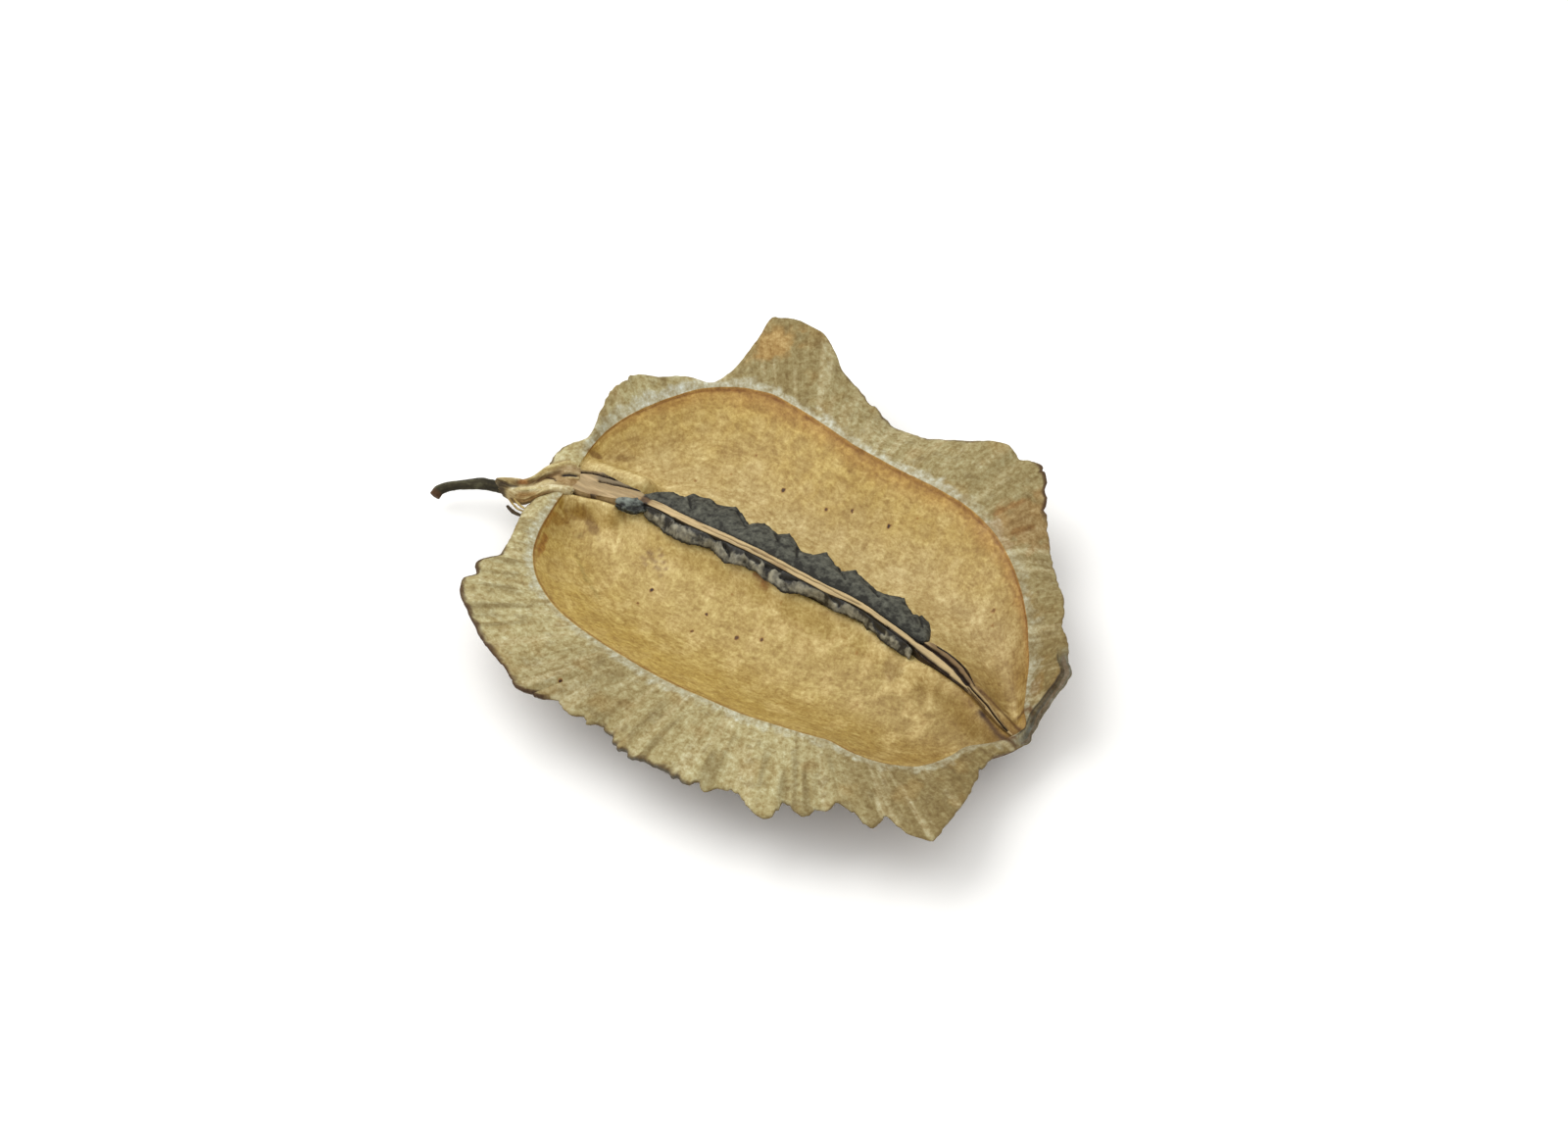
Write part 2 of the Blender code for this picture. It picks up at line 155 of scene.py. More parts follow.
lamp_data = bpy.data.lights.new("soft lamp", "AREA")
lamp_data.shape = "DISK"
lamp_data.size = LAMP_SIZE
lamp_data.energy = LAMP_POWER
lamp = bpy.data.objects.new("soft lamp", lamp_data)
lamp.location = Vector(LAMP_AT)
lamp.rotation_euler = (lamp.location - LOOK_AT).to_track_quat("Z", "Y").to_euler()
bpy.context.scene.collection.objects.link(lamp)
print("floor", 2 * FLOOR_REACH, "m wide, lamp", LAMP_SIZE, "m wide")

# %% [markdown]
# ## Noise, curves and meshes from arrays
#
# A dry pod is irregular everywhere, so most shapes here add some noise. It could be drawn by a modifier and
# a texture, but a fixed table of random numbers does it inside the same formulas, and gives the same pod on
# every run.

# %% Noise
rng = np.random.default_rng(11)
LATTICE = rng.random((64, 64, 64)) * 2 - 1


def value_noise(*coordinates):
    """Smooth noise from -1 to 1: the values at the eight corners of a point's cell in a fixed table, mixed
    by the smooth share 3t^2 - 2t^3 of the way between them along each axis."""
    point = np.stack(np.broadcast_arrays(*coordinates), -1)
    cell = np.floor(point).astype(int)
    share = point - cell
    share = share * share * (3 - 2 * share)
    total = 0
    for corner in range(8):
        offset = np.array([corner & 1, corner >> 1 & 1, corner >> 2 & 1])
        weight = np.prod(np.where(offset, share, 1 - share), axis=-1)
        x, y, z = np.moveaxis((cell + offset) % 64, -1, 0)
        total = total + weight * LATTICE[x, y, z]
    return total


def rough_noise(*coordinates, octaves=4, gain=0.5):
    """Layers of noise, each twice as fine and gain times as strong as the last, about -1 to 1 in all."""
    total, strength, scale = 0, 1.0, 1.0
    for layer in range(octaves):
        total = total + strength * value_noise(*[c * scale + 17.3 * layer for c in coordinates])
        strength *= gain
        scale *= 2.03
    return total


def blend(a, b, t):
    """The value at the share t of the way from a to b: a + (b - a) * t."""
    return a + (b - a) * t


def smooth_step(low, high, value):
    """0 below low, 1 above high, and 3t^2 - 2t^3 between them."""
    t = np.clip((value - low) / (high - low), 0, 1)
    return t * t * (3 - 2 * t)


print("noise table of", LATTICE.size, "numbers")

def tell(what, values, unit="mm"):
    """Prints the least and the largest of the values."""
    print(what, "from", round(float(np.min(values)), 2), "to", round(float(np.max(values)), 2), unit)


# %% [markdown]
# Outlines, and the lines of cracks and folds, run through a few given points. A cubic that
# never overshoots keeps a tooth or a corner just where it was marked.

# %% Curves through marked points
def curve_through(places, values):
    """Piecewise cubic through the values that never overshoots: at each point its slope is the harmonic mean
    of the slopes on both sides, or zero at a crest, a dip or an end."""
    x, y = np.asarray(places, float), np.asarray(values, float)
    step = np.diff(x)
    rise = np.diff(y) / step
    before, after = rise[:-1], rise[1:]
    level = before * after <= 0
    total = np.where(level, 1.0, before + after)
    slope = np.concatenate([[0.0], np.where(level, 0.0, 2 * before * after / total), [0.0]])

    def at(place):
        p = np.clip(place, x[0], x[-1])
        i = np.clip(np.searchsorted(x, p) - 1, 0, len(x) - 2)
        t = (p - x[i]) / step[i]
        return (
            (1 + 2 * t) * (1 - t) ** 2 * y[i]
            + t * (1 - t) ** 2 * step[i] * slope[i]
            + t * t * (3 - 2 * t) * y[i + 1]
            + t * t * (t - 1) * step[i] * slope[i + 1]
        )

    return at


def curve_round(bearings, values):
    """The same for values all the way round, repeated past both ends so that the curve closes smoothly."""
    order = np.argsort(bearings)
    x, y = np.asarray(bearings, float)[order], np.asarray(values, float)[order]
    x = np.concatenate([x[-2:] - math.tau, x, x[:2] + math.tau])
    y = np.concatenate([y[-2:], y, y[:2]])
    curve = curve_through(x, y)
    return lambda bearing: curve((bearing + math.pi) % math.tau - math.pi)


# %% Distance to a line
def line_distance(x, y, points):
    """Distance to a broken line through points of (x, y), and the share of the way along it, for every x and
    y: the nearest of the distances to its straight stretches."""
    points = np.asarray(points, float)
    steps = np.linalg.norm(np.diff(points, axis=0), axis=1)
    walked = np.concatenate([[0], np.cumsum(steps)]) / steps.sum()
    best = np.full(np.broadcast(x, y).shape, 1e9)
    along = np.zeros_like(best)
    for k, length in enumerate(steps):
        (ax, ay), (bx, by) = points[k], points[k + 1]
        t = np.clip(((x - ax) * (bx - ax) + (y - ay) * (by - ay)) / length ** 2, 0, 1)
        away = np.hypot(x - blend(ax, bx, t), y - blend(ay, by, t))
        nearer = away < best
        best = np.where(nearer, away, best)
        along = np.where(nearer, blend(walked[k], walked[k + 1], t), along)
    return best, along


# %% [markdown]
# Each piece of the pod is a grid of points, worked out at once by numpy, with rows along the piece and
# columns round it. One function makes the mesh: neighbours are joined to faces, both ends are closed, the
# faces are turned outward, and what a material reads, such as each point's colour, is stored beside them.

# %% Meshes
def put_mesh(name, grid, material, node, start="point", end="point", attributes=None):
    """A closed surface from a grid of points, rows by columns, whose columns run round it.

    start and end say how the first and last row close: "point" draws the row together into one point, and
    "fold" joins column i to column -i, as the two halves of a slit. Faces are turned outward by the sign
    of the volume they enclose. attributes are values for each point of the grid, a number or a colour.
    """
    rows, columns = grid.shape[:2]
    index = np.arange(rows * columns).reshape(rows, columns)
    column = np.arange(columns)
    for row, way in ((0, start), (-1, end)):
        if way == "point":
            index[row] = index[row, 0]
        else:
            index[row] = index[row, 0] + np.minimum(column, columns - column)
    here, right = index[:-1], np.roll(index[:-1], -1, axis=1)
    below, across = index[1:], np.roll(index[1:], -1, axis=1)
    faces = np.stack([here, right, across, below], -1).reshape(-1, 4)
    points = grid.reshape(-1, 3)
    first, second, third, fourth = np.moveaxis(points[faces], 1, 0)
    half_one = np.einsum("ij,ij->", first, np.cross(second, third))
    half_two = np.einsum("ij,ij->", first, np.cross(third, fourth))
    if half_one + half_two < 0:
        faces = faces[:, ::-1]
    used, faces = np.unique(faces, return_inverse=True)
    faces = faces.reshape(-1, 4)
    following = np.roll(faces, -1, axis=1)
    twins = (faces == following).any(axis=1)
    polygons = faces[~twins].tolist() + [list(dict.fromkeys(face)) for face in faces[twins].tolist()]
    mesh = bpy.data.meshes.new(name)
    mesh.from_pydata(points[used], [], [face for face in polygons if len(face) > 2])
    for label, values in (attributes or {}).items():
        values = np.asarray(values, np.float32)
        if values.ndim == 3:
            colours = np.ones((rows * columns, 4), np.float32)
            colours[:, :3] = values.reshape(-1, 3)
            layer = mesh.attributes.new(label, "FLOAT_COLOR", "POINT")
            layer.data.foreach_set("color", colours[used].ravel())
        else:
            layer = mesh.attributes.new(label, "FLOAT", "POINT")
            layer.data.foreach_set("value", np.broadcast_to(values, (rows, columns)).reshape(-1)[used])
    mesh.shade_smooth()
    mesh.materials.append(material)
    piece = bpy.data.objects.new(name, mesh)
    bpy.context.scene.collection.objects.link(piece)
    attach(piece, "root")
    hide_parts(node)
    triangles = sum(len(p.vertices) - 2 for p in mesh.polygons)
    span = np.ptp(points[used], axis=0) / MM
    print(f"{name}: {triangles} triangles, {span[0]:.1f} x {span[1]:.1f} x {span[2]:.1f} mm")
    return piece


# %% [markdown]
# ## The plan of the valve
#
# The valve is drawn in plan by three outlines, seen from the septum outwards: the strip that carries the
# septum, the edge of the golden hollows, and the wavy margin. A point of the surface is named by a bearing
# round the pod and a ring, 0 at the strip, 1 at the hollows' edge and 2 at the margin. The outlines were
# marked at each crest, dip, corner and tooth, with the height of the margin beside it.

# %% Sizes shared with the solids
HALF_LENGTH, HALF_WIDTH = 29.0 * MM, 18.0 * MM
RIM_PLANE, END_DROP, HOLLOW_DIP = 7.4 * MM, 2.2 * MM, 4.1 * MM
SHOULDER_THICKNESS, FLAT_CUT, KEEL_RISE, RIM_BULGE = 2.8 * MM, 0.4 * MM, 3.3 * MM, 0.25 * MM
STRIP_HALF_LENGTH, STRIP_DROP, STRIP_END_DROP = 27.5 * MM, 1.6 * MM, 1.2 * MM
SEPTUM_CREST, SEPTUM_ARCH, SEPTUM_ARCH_MIDDLE = 1.8 * MM, 4.0 * MM, 1.5 * MM
BAND_HALF_WIDTH, RIDGE_HALF_WIDTH, TIP_THICKENING = 1.45 * MM, 0.42 * MM, 0.4 * MM
TIP_RIDGE_HEIGHT, LOWEST_SEPTUM = 1.3 * MM, 0.9 * MM

MARGIN = np.array((
    (29.2, -2.5, -2.2), (29.0, 0.7, -1.0), (29.4, 2.8, 0.5), (29.5, 5.4, 1.8), (28.2, 6.9, 1.5),
    (25.3, 10.4, 0.5), (23.4, 13.6, 0.5), (21.3, 15.6, -0.5), (18.5, 18.6, -1.0), (15.2, 22.5, 0.5),
    (14.0, 24.5, 1.5), (11.7, 26.2, 2.2), (9.6, 25.9, 1.5), (8.5, 26.4, 2.0), (6.2, 26.2, 1.5),
    (3.1, 25.5, 0.5), (-0.9, 24.5, -0.8), (-4.2, 24.3, -1.5), (-7.2, 24.7, -0.5), (-12.5, 25.9, 1.0),
    (-14.5, 27.2, 2.0), (-16.8, 28.0, 2.6), (-19.3, 28.0, 2.6), (-22.1, 27.1, 2.2), (-22.2, 24.5, 1.5),
    (-22.4, 21.2, 0.3), (-23.8, 18.0, -0.8), (-26.0, 16.5, 0.0), (-28.0, 14.5, 0.5), (-30.4, 12.7, 0.8),
    (-31.1, 10.2, 0.5), (-30.7, 7.7, -0.3), (-30.2, 4.9, -1.4), (-32.1, 2.9, -2.4), (-32.2, 1.2, -2.7),
    (-31.8, -0.1, -2.8), (-30.5, -1.3, -2.9), (-29.7, -2.3, -2.9), (-30.3, -4.4, -2.6), (-30.2, -6.1, -2.2),
    (-29.2, -8.9, -1.6), (-28.2, -11.8, -1.0), (-27.6, -14.0, -0.5), (-28.4, -17.1, 0.5), (-27.7, -17.9, 0.3),
    (-28.1, -19.4, 0.8), (-27.3, -21.0, 1.0), (-25.0, -22.8, 1.2), (-20.1, -25.6, 1.2), (-17.2, -26.7, 1.0),
    (-14.1, -28.3, 1.4), (-13.1, -27.6, 1.2), (-12.7, -26.5, 0.4), (-10.9, -26.5, 0.3), (-8.7, -27.3, 0.0),
    (-5.2, -26.7, -0.4), (-1.2, -28.0, 0.0), (1.6, -27.6, 0.2), (7.6, -27.3, 0.0), (8.8, -25.7, -0.3),
    (10.4, -25.7, -0.3), (13.6, -26.9, 0.0), (15.0, -25.8, 0.0), (14.8, -24.1, -0.2), (17.2, -24.5, 0.2),
    (18.4, -22.9, 0.2), (20.1, -21.4, 0.3), (24.0, -21.8, 0.6), (24.5, -20.0, 0.6), (27.4, -20.6, 0.9),
    (29.8, -20.1, 1.2), (29.8, -17.8, 0.8), (29.5, -14.5, 0.2), (28.6, -10.4, -0.8), (28.0, -8.1, -1.2),
    (28.3, -5.3, -1.8),
))
HOLLOW_EDGE = np.array((
    (28.2, -1.0), (26.6, 1.4), (24.9, 4.6), (23.3, 7.2), (21.0, 10.3), (18.3, 13.1), (15.3, 15.5),
    (12.3, 17.2), (8.5, 18.4), (4.5, 18.7), (-0.5, 18.6), (-5.5, 18.7), (-10.5, 19.3), (-14.5, 19.7),
    (-17.6, 19.7), (-20.5, 18.8), (-23.5, 16.9), (-26.1, 13.8), (-28.0, 10.7), (-29.1, 7.7),
    (-29.4, 4.7), (-29.0, 1.5), (-28.2, -1.6), (-27.6, -5.2), (-26.6, -8.8), (-24.9, -12.0),
    (-22.3, -14.5), (-19.7, -16.0), (-16.6, -17.0), (-12.5, -17.6), (-8.5, -17.9), (-3.5, -18.0),
    (1.5, -17.5), (5.5, -17.0), (9.5, -16.0), (13.3, -14.9), (17.2, -14.5), (20.1, -13.6),
    (22.1, -12.4), (23.6, -10.6), (24.4, -8.6), (25.1, -6.3), (26.8, -4.3),
))
SEPTUM_LINE = np.array((
    (-27.5, 0.0), (-24.6, 0.0), (-22.3, 0.1), (-18.7, 0.5), (-15.8, 0.35), (-11.6, 0.3), (-5.3, 0.35),
    (-1.2, 0.25), (2.9, 0.2), (5.8, 0.5), (7.8, 0.55), (9.7, 0.3), (11.7, 0.0), (15.4, -0.3), (18.2, -0.4),
    (20.1, -0.6), (22.0, -1.0), (23.0, -1.35), (25.0, -1.95), (26.5, -2.3), (28.0, -2.45),
))

# %% Outlines
def oval_polar(points):
    """Bearing and reach of each point, measured on the oval of the hollows, whose own reach is 1."""
    x, y = points[:, 0] * MM / HALF_LENGTH, points[:, 1] * MM / HALF_WIDTH
    return np.arctan2(y, x), np.hypot(x, y)


margin_bearing, margin_reach = oval_polar(MARGIN)
margin_reach_at = curve_round(margin_bearing, margin_reach)
margin_height_at = curve_round(margin_bearing, MARGIN[:, 2] * MM)
edge_reach_at = curve_round(*oval_polar(HOLLOW_EDGE))
septum_line = curve_through(SEPTUM_LINE[:, 0] * MM, SEPTUM_LINE[:, 1] * MM)


def on_oval(bearing, reach):
    """Reach times the oval's half length times the bearing's cosine, and half width times its sine."""
    return np.stack([HALF_LENGTH * np.cos(bearing) * reach, HALF_WIDTH * np.sin(bearing) * reach], -1)


print("margin reaches", np.round([margin_reach.min(), margin_reach.max()], 2), "ovals from the middle")

# %% Widths and heights along the septum
def septum_half_width(x):
    """Broad band at the stalk, thin ridge between the flaps, a little thicker beyond them."""
    band = blend(BAND_HALF_WIDTH, RIDGE_HALF_WIDTH, smooth_step(-28.5 * MM, -19.5 * MM, x))
    swell = smooth_step(13 * MM, 17 * MM, x) - 0.6 * smooth_step(19 * MM, 24 * MM, x)
    return band + TIP_THICKENING * swell


def crest_height(x):
    """Arched line of the septum's top edge: highest at mid-length, lower by the square of the way out."""
    return RIM_PLANE + SEPTUM_CREST - SEPTUM_ARCH * ((x - SEPTUM_ARCH_MIDDLE) / HALF_LENGTH) ** 2


def strip_height(x):
    """Height of the strip that carries the septum: it drops by the square of the way out to its ends, and
    near the tip it keeps a fixed distance below the crest where that is higher."""
    level = RIM_PLANE - STRIP_DROP - STRIP_END_DROP * (x / STRIP_HALF_LENGTH) ** 2
    near_tip = np.maximum(level, crest_height(x) - TIP_RIDGE_HEIGHT)
    return blend(level, near_tip, smooth_step(2 * MM, 21 * MM, x))


def septum_top(x):
    """Height of the septum's top: the crest line, and never less than the lowest septum above the strip."""
    return np.maximum(crest_height(x), strip_height(x) + LOWEST_SEPTUM)


def edge_height(bearing):
    """Height of the hollows' edge: the rim plane less END_DROP times the cube of the bearing's cosine."""
    return RIM_PLANE - END_DROP * np.abs(np.cos(bearing)) ** 3


# %% [markdown]
# The solid of this valve is smooth and its margin is 0.8 mm thick, which a simulation needs. The real
# margin is as thin as card, and torn into teeth on the near side. Here the same formulas get a thin, torn
# margin that stays just inside the box of the solids. The columns are spread so that they stand about
# equally far apart round the oval.

# %% Points of the valve
COLUMNS = 736
FLOOR_STEPS, RIM_STEPS, BACK_STEPS = 56, 44, 22
STRIP_END_SHARE = 0.3
turn = math.tau * np.arange(COLUMNS) / COLUMNS
bearing = (turn + 0.15 * np.sin(2 * turn))[None, :]
floor_rings = 1 - (1 - np.linspace(0, 1, FLOOR_STEPS)) ** 1.3
rim_rings = 1 + np.linspace(0, 1, RIM_STEPS)[1:] ** 1.2
inner_rings = np.concatenate([floor_rings, rim_rings])[:, None]
back_rings = 2 - 2 * np.linspace(0, 1, BACK_STEPS)[:, None]

start_x = STRIP_HALF_LENGTH * np.cos(bearing)
strip_line = np.stack([start_x, septum_line(start_x)], -1)
outward = np.stack([STRIP_END_SHARE * np.cos(bearing), np.sin(bearing)], -1)
strip_side = strip_line + (septum_half_width(start_x) + 0.4 * MM)[..., None] * outward
edge_line = on_oval(bearing, edge_reach_at(bearing))
margin_line = on_oval(bearing, margin_reach_at(bearing))
rim_way = margin_line - edge_line
rim_width = np.linalg.norm(rim_way, axis=-1)
print("rim is", (rim_width.min() / MM).round(1), "to", (rim_width.max() / MM).round(1), "mm wide")

# %% [markdown]
# The margin is torn by moving its points inwards, by a raggedness, larger notches and fine teeth, more where
# a table says so. The same table form later says where the margin is dark and where it is thick.

# %% Torn margin
def window(x, y, radius):
    """1 for the part of the margin within radius of (x, y), in millimetres, falling smoothly to 0."""
    away = np.hypot(margin_line[..., 0] / MM - x, margin_line[..., 1] / MM - y)
    return 1 - smooth_step(0.6 * radius, radius, away)


def strongest(least, places):
    """For each bearing, the largest of least and of amount times window, over rows (x, y, radius, amount)."""
    amounts = [amount * window(x, y, radius) for x, y, radius, amount in places]
    return np.maximum.reduce([least + 0 * bearing] + amounts)


TORN_PLACES = (
    (3, -27, 17, 1.1), (20, -23, 10, 1.1), (14, 24, 5, 0.8), (-31, 11, 4, 0.8), (29, -5, 7, 0.4),
    (-6, 25, 9, 0.35),
)
torn = strongest(0.2, TORN_PLACES)
edge_x, edge_y = margin_line[..., 0] / MM, margin_line[..., 1] / MM
ragged = rough_noise(edge_x / 1.2, edge_y / 1.2, 0.5, octaves=3)
notches = smooth_step(0.2, 0.7, value_noise(edge_x * 1.25, edge_y * 1.25, 3.1))
teeth = value_noise(edge_x * 2.1, edge_y * 2.1, 6.1)
tears = torn * np.clip(0.2 + 0.35 * ragged + 0.5 * notches + 0.3 * teeth, 0, None) * MM
margin_line = margin_line - (tears / rim_width)[..., None] * rim_way
box_low, box_high = np.array(cad_box)[:, :2]
margin_line = np.clip(margin_line, box_low + 0.15 * MM, box_high - 0.15 * MM)
print("deepest tear is", (tears.max() / MM).round(2), "mm")

# %% [markdown]
# Three formulas then place any point: in plan, and in height on the inner and on the outer face.

# %% Heights of both faces
def plan(ring):
    """Mixes the strip's side with the hollows' edge for rings 0 to 1, and that with the margin for 1 to 2."""
    ring = ring[..., None]
    inner = blend(strip_side, edge_line, np.minimum(ring, 1))
    return np.where(ring <= 1, inner, blend(edge_line, margin_line, ring - 1))


def smooth_inside(ring):
    """Height of the solid's inner face: a rounded trough from the strip to the edge, then the rim, which
    starts level and steepens towards the margin."""
    rim_share = np.clip(ring - 1, 0, 1)
    edge = edge_height(bearing)
    rim = blend(edge, RIM_PLANE + margin_height_at(bearing), rim_share ** 1.5)
    rim = rim + RIM_BULGE * np.sin(math.pi * rim_share)
    floor_share = np.clip(ring, 0, 1)
    dip = HOLLOW_DIP * np.abs(np.sin(bearing)) ** 0.9 * np.sin(math.pi * floor_share ** 0.95) ** 1.15
    trough = blend(strip_height(start_x), edge, floor_share ** 1.6) - dip
    return np.where(ring <= 1, trough, rim)


def smooth_back(ring, thickness):
    """Height of the outer face: a shallow dome from a keel in the middle to the shoulder, worn flat where
    it rests, and a rim that thins to the margin."""
    shoulder = edge_height(bearing) - SHOULDER_THICKNESS
    keel = KEEL_RISE * np.abs(np.cos(bearing)) ** 2.4
    dome = np.maximum(0, blend(keel, shoulder + FLAT_CUT, np.clip(ring, 0, 1) ** 2.2) - FLAT_CUT)
    thinning = blend(SHOULDER_THICKNESS, thickness, np.clip(ring - 1, 0, 1) ** 0.8)
    return np.where(ring <= 1, dome, smooth_inside(ring) - thinning)


# %% [markdown]
# ## The valve
#
# The two faces meet at the margin, and the strip line in the middle closes both, so the valve is one closed
# skin. Its close relief is added to the heights: ribs on the rim where the fibres run out, buckles and a
# curled margin, a small step at the lining's edge, and a rolled lip at the tip. The lining also climbs to
# the septum: pale ledges run beside its stalk end, and slopes close the gap under the ridge.
#
# It could be sculpted by hand, or be a plane with a displacement map. Formulas keep it on the same lines as
# its solid, and the height, the colour and the fibres of a point all follow from one place on the pod.

# %% Places on the inside
inside_plan = plan(inner_rings)
x_mm, y_mm = inside_plan[..., 0] / MM, inside_plan[..., 1] / MM
root_x, root_y = edge_line[..., 0] / MM, edge_line[..., 1] / MM
rim_share = np.clip(inner_rings - 1, 0, 1)
rim_mm = rim_share * rim_width / MM
from_margin = (2 - np.maximum(inner_rings, 1)) * rim_width / MM
on_rim = smooth_step(0.993, 1.0, inner_rings)
grain = rough_noise(x_mm / 0.8, y_mm / 0.8, 2.2, octaves=3)


def along_line(points, width):
    """1 on a line through points of (x, y), falling to 0 away from it as exp(-(distance / width)^2)."""
    return np.exp(-((line_distance(x_mm, y_mm, points)[0] + 0.06 * grain) / width) ** 2)


def patch(x, y, half_long, half_wide, angle, rough=0.35):
    """A soft-edged oval patch with a ragged outline, 1 in its middle: position, half sizes in millimetres,
    angle in degrees from +X."""
    a = math.radians(angle)
    u = ((x_mm - x) * math.cos(a) + (y_mm - y) * math.sin(a)) / half_long
    v = ((y_mm - y) * math.cos(a) - (x_mm - x) * math.sin(a)) / half_wide
    return 1 - smooth_step(0.5, 1.0, np.hypot(u, v) + rough * grain)


# %% Relief of the rim and the lining
swirls = rough_noise(x_mm / 2.4, y_mm / 2.4, 1.7, octaves=4)
buckles = rough_noise(x_mm / 3.2, y_mm / 3.2, 4.4, octaves=3)
near_side = smooth_step(2, -14, root_y)
ribs = rough_noise(root_x / 0.75, root_y / 0.75, rim_mm / 9, octaves=3)
curl = value_noise(root_x / 2.6, root_y / 2.6, 8.2) * rim_share ** 4

rib_height = 0.025 + 0.055 * near_side * smooth_step(0.1, 0.5, rim_share)
rim_relief = rib_height * ribs + 0.09 * buckles * rim_share ** 0.5 + 0.25 * curl + 0.03 * grain
at_lip = window(29.3, 2.6, 6.5)
rolled_lip = at_lip * smooth_step(1.15, 0.45, from_margin)
rim_relief = rim_relief - 0.9 * rolled_lip
lining_relief = 0.07 * swirls + 0.02 * grain - 0.14 * smooth_step(1.0, 0.985, inner_rings)
tell("relief of the rim", rim_relief)
tell("relief of the lining", lining_relief)

# %% Ledges and slopes beside the septum
FAR_LEDGE = ((-31.3, -0.7), (-30.0, 1.0), (-28.6, 2.4), (-26.8, 3.0), (-24.6, 3.2), (-22.0, 3.3))
NEAR_LEDGE = ((-31.1, -3.5), (-29.8, -2.7), (-28.2, -2.3), (-26.6, -1.9), (-24.4, -1.5), (-22.4, -1.4))
ledges = np.maximum(along_line(FAR_LEDGE, 0.75), along_line(NEAR_LEDGE, 0.5))
far_slope = smooth_step(2.6, 0.0, line_distance(x_mm, y_mm, FAR_LEDGE)[0]) * (y_mm > 0)
near_slope = smooth_step(1.2, 0.0, line_distance(x_mm, y_mm, NEAR_LEDGE)[0]) * (y_mm < 0)
ridge_slope = smooth_step(2.8, 0.6, line_distance(x_mm, y_mm, SEPTUM_LINE)[0])
ridge_slope = ridge_slope * smooth_step(-21, -19, x_mm)
slopes = np.maximum.reduce([far_slope, near_slope, ridge_slope])
relief = np.where(inner_rings > 1, rim_relief, lining_relief)
inside_height = smooth_inside(inner_rings) + MM * relief
ledge_drop = np.interp(x_mm, (-21, -18.5, 13, 17, 22, 28), (0.45, 2.2, 2.2, 0.7, 0.6, 0.9))
ledge_top = septum_top(inside_plan[..., 0]) - ledge_drop * MM
raised = blend(inside_height, np.maximum(inside_height, ledge_top), slopes)
inside_height = np.where(inner_rings <= 1, raised, inside_height)
inside_height = np.minimum(inside_height, cad_box[1][2] - 0.05 * MM)
print("inside is", np.round([inside_height.min() / MM, inside_height.max() / MM], 1), "mm high")

# %% [markdown]
# The broad colours come from where a point lies: cream near the septum, gold further out, an orange-brown
# line at the hollows' edge, a pale chalky band just outside it, grey-tan on the rim, and bare dark bark on
# parts of the margin. A painted image would need the pod unwrapped, so they are worked out as one colour for
# each point, and stains are painted over them in turn. The material adds the fibres, mottling and specks
# that are smaller than the grid.

# %% Colour of the lining
def paint(under, code, amount):
    """Mixes a colour over what is already there."""
    return blend(under, linear(code), np.clip(amount, 0, 1)[..., None])


outer = smooth_step(0.30, 0.95, inner_rings + 0.12 * swirls)
towards_tip = smooth_step(-2, 28, x_mm - 0.3 * y_mm)
lining = paint(np.broadcast_to(linear("#b39b5c"), inside_plan.shape[:2] + (3,)), "#ac8d3b", 0.9 * outer)
lining = paint(lining, "#8a733f", 0.8 * towards_tip)
lining = paint(lining, "#866428", 0.7 * smooth_step(12, 26, x_mm) * (0.4 + 0.6 * outer))
cream = rough_noise(x_mm / 1.7, y_mm / 1.7, 6.1, octaves=4)
lining = paint(lining, "#c9b277", 0.6 * smooth_step(0.0, 0.7, cream) * (1 - 0.7 * outer))
lining = paint(lining, "#937432", 0.5 * smooth_step(0.1, 0.8, -cream) * (0.35 + 0.65 * outer))
lining = paint(lining, "#ae9a6c", 0.5 * smooth_step(2, 9, y_mm) * (1 - 0.5 * outer))
lining = paint(lining, "#a08a50", 0.35 * smooth_step(-1, -6, y_mm) * (1 - 0.4 * towards_tip))
far_border = smooth_step(0.86, 0.985, inner_rings + 0.03 * swirls) * smooth_step(2, 9, y_mm)
lining = paint(lining, "#9a6a26", 0.5 * far_border)
lining = paint(lining, "#bca973", 0.75 * ledges)
print("mean colour of the lining, linear:", lining.mean((0, 1)).round(3))

# %% [markdown]
# The rim is not one colour either: it is palest at the stalk's left, and darker brown on the peak, on the
# near side and towards the tip, partly its own browner colour and partly painted shade of the ribs and of the
# light falling off away from the lamp. A table says how much darker it is at places round the pod, and a
# curve runs through them. A band of chalky bloom follows the hollows' edge.

# %% Colour of the rim
RIM_BROWN_AND_SHADE = np.array((
    (-29, 13, 0.0), (-19, 26, 0.7), (-4, 22, 0.35), (10, 25, 0.6), (22, 14, 0.75), (29, 4, 1.0),
    (27, -18, 0.85), (12, -25, 0.0), (-3, -26, 0.3), (-12, -25, 0.55), (-20, -22, 0.0), (-28, -13, 0.0),
    (-31, -4, 0.1),
))
rim_brown_and_shade_at = curve_round(oval_polar(RIM_BROWN_AND_SHADE[:, :2])[0], RIM_BROWN_AND_SHADE[:, 2])
rim_brown_and_shade = rim_brown_and_shade_at(bearing) + 0 * inner_rings
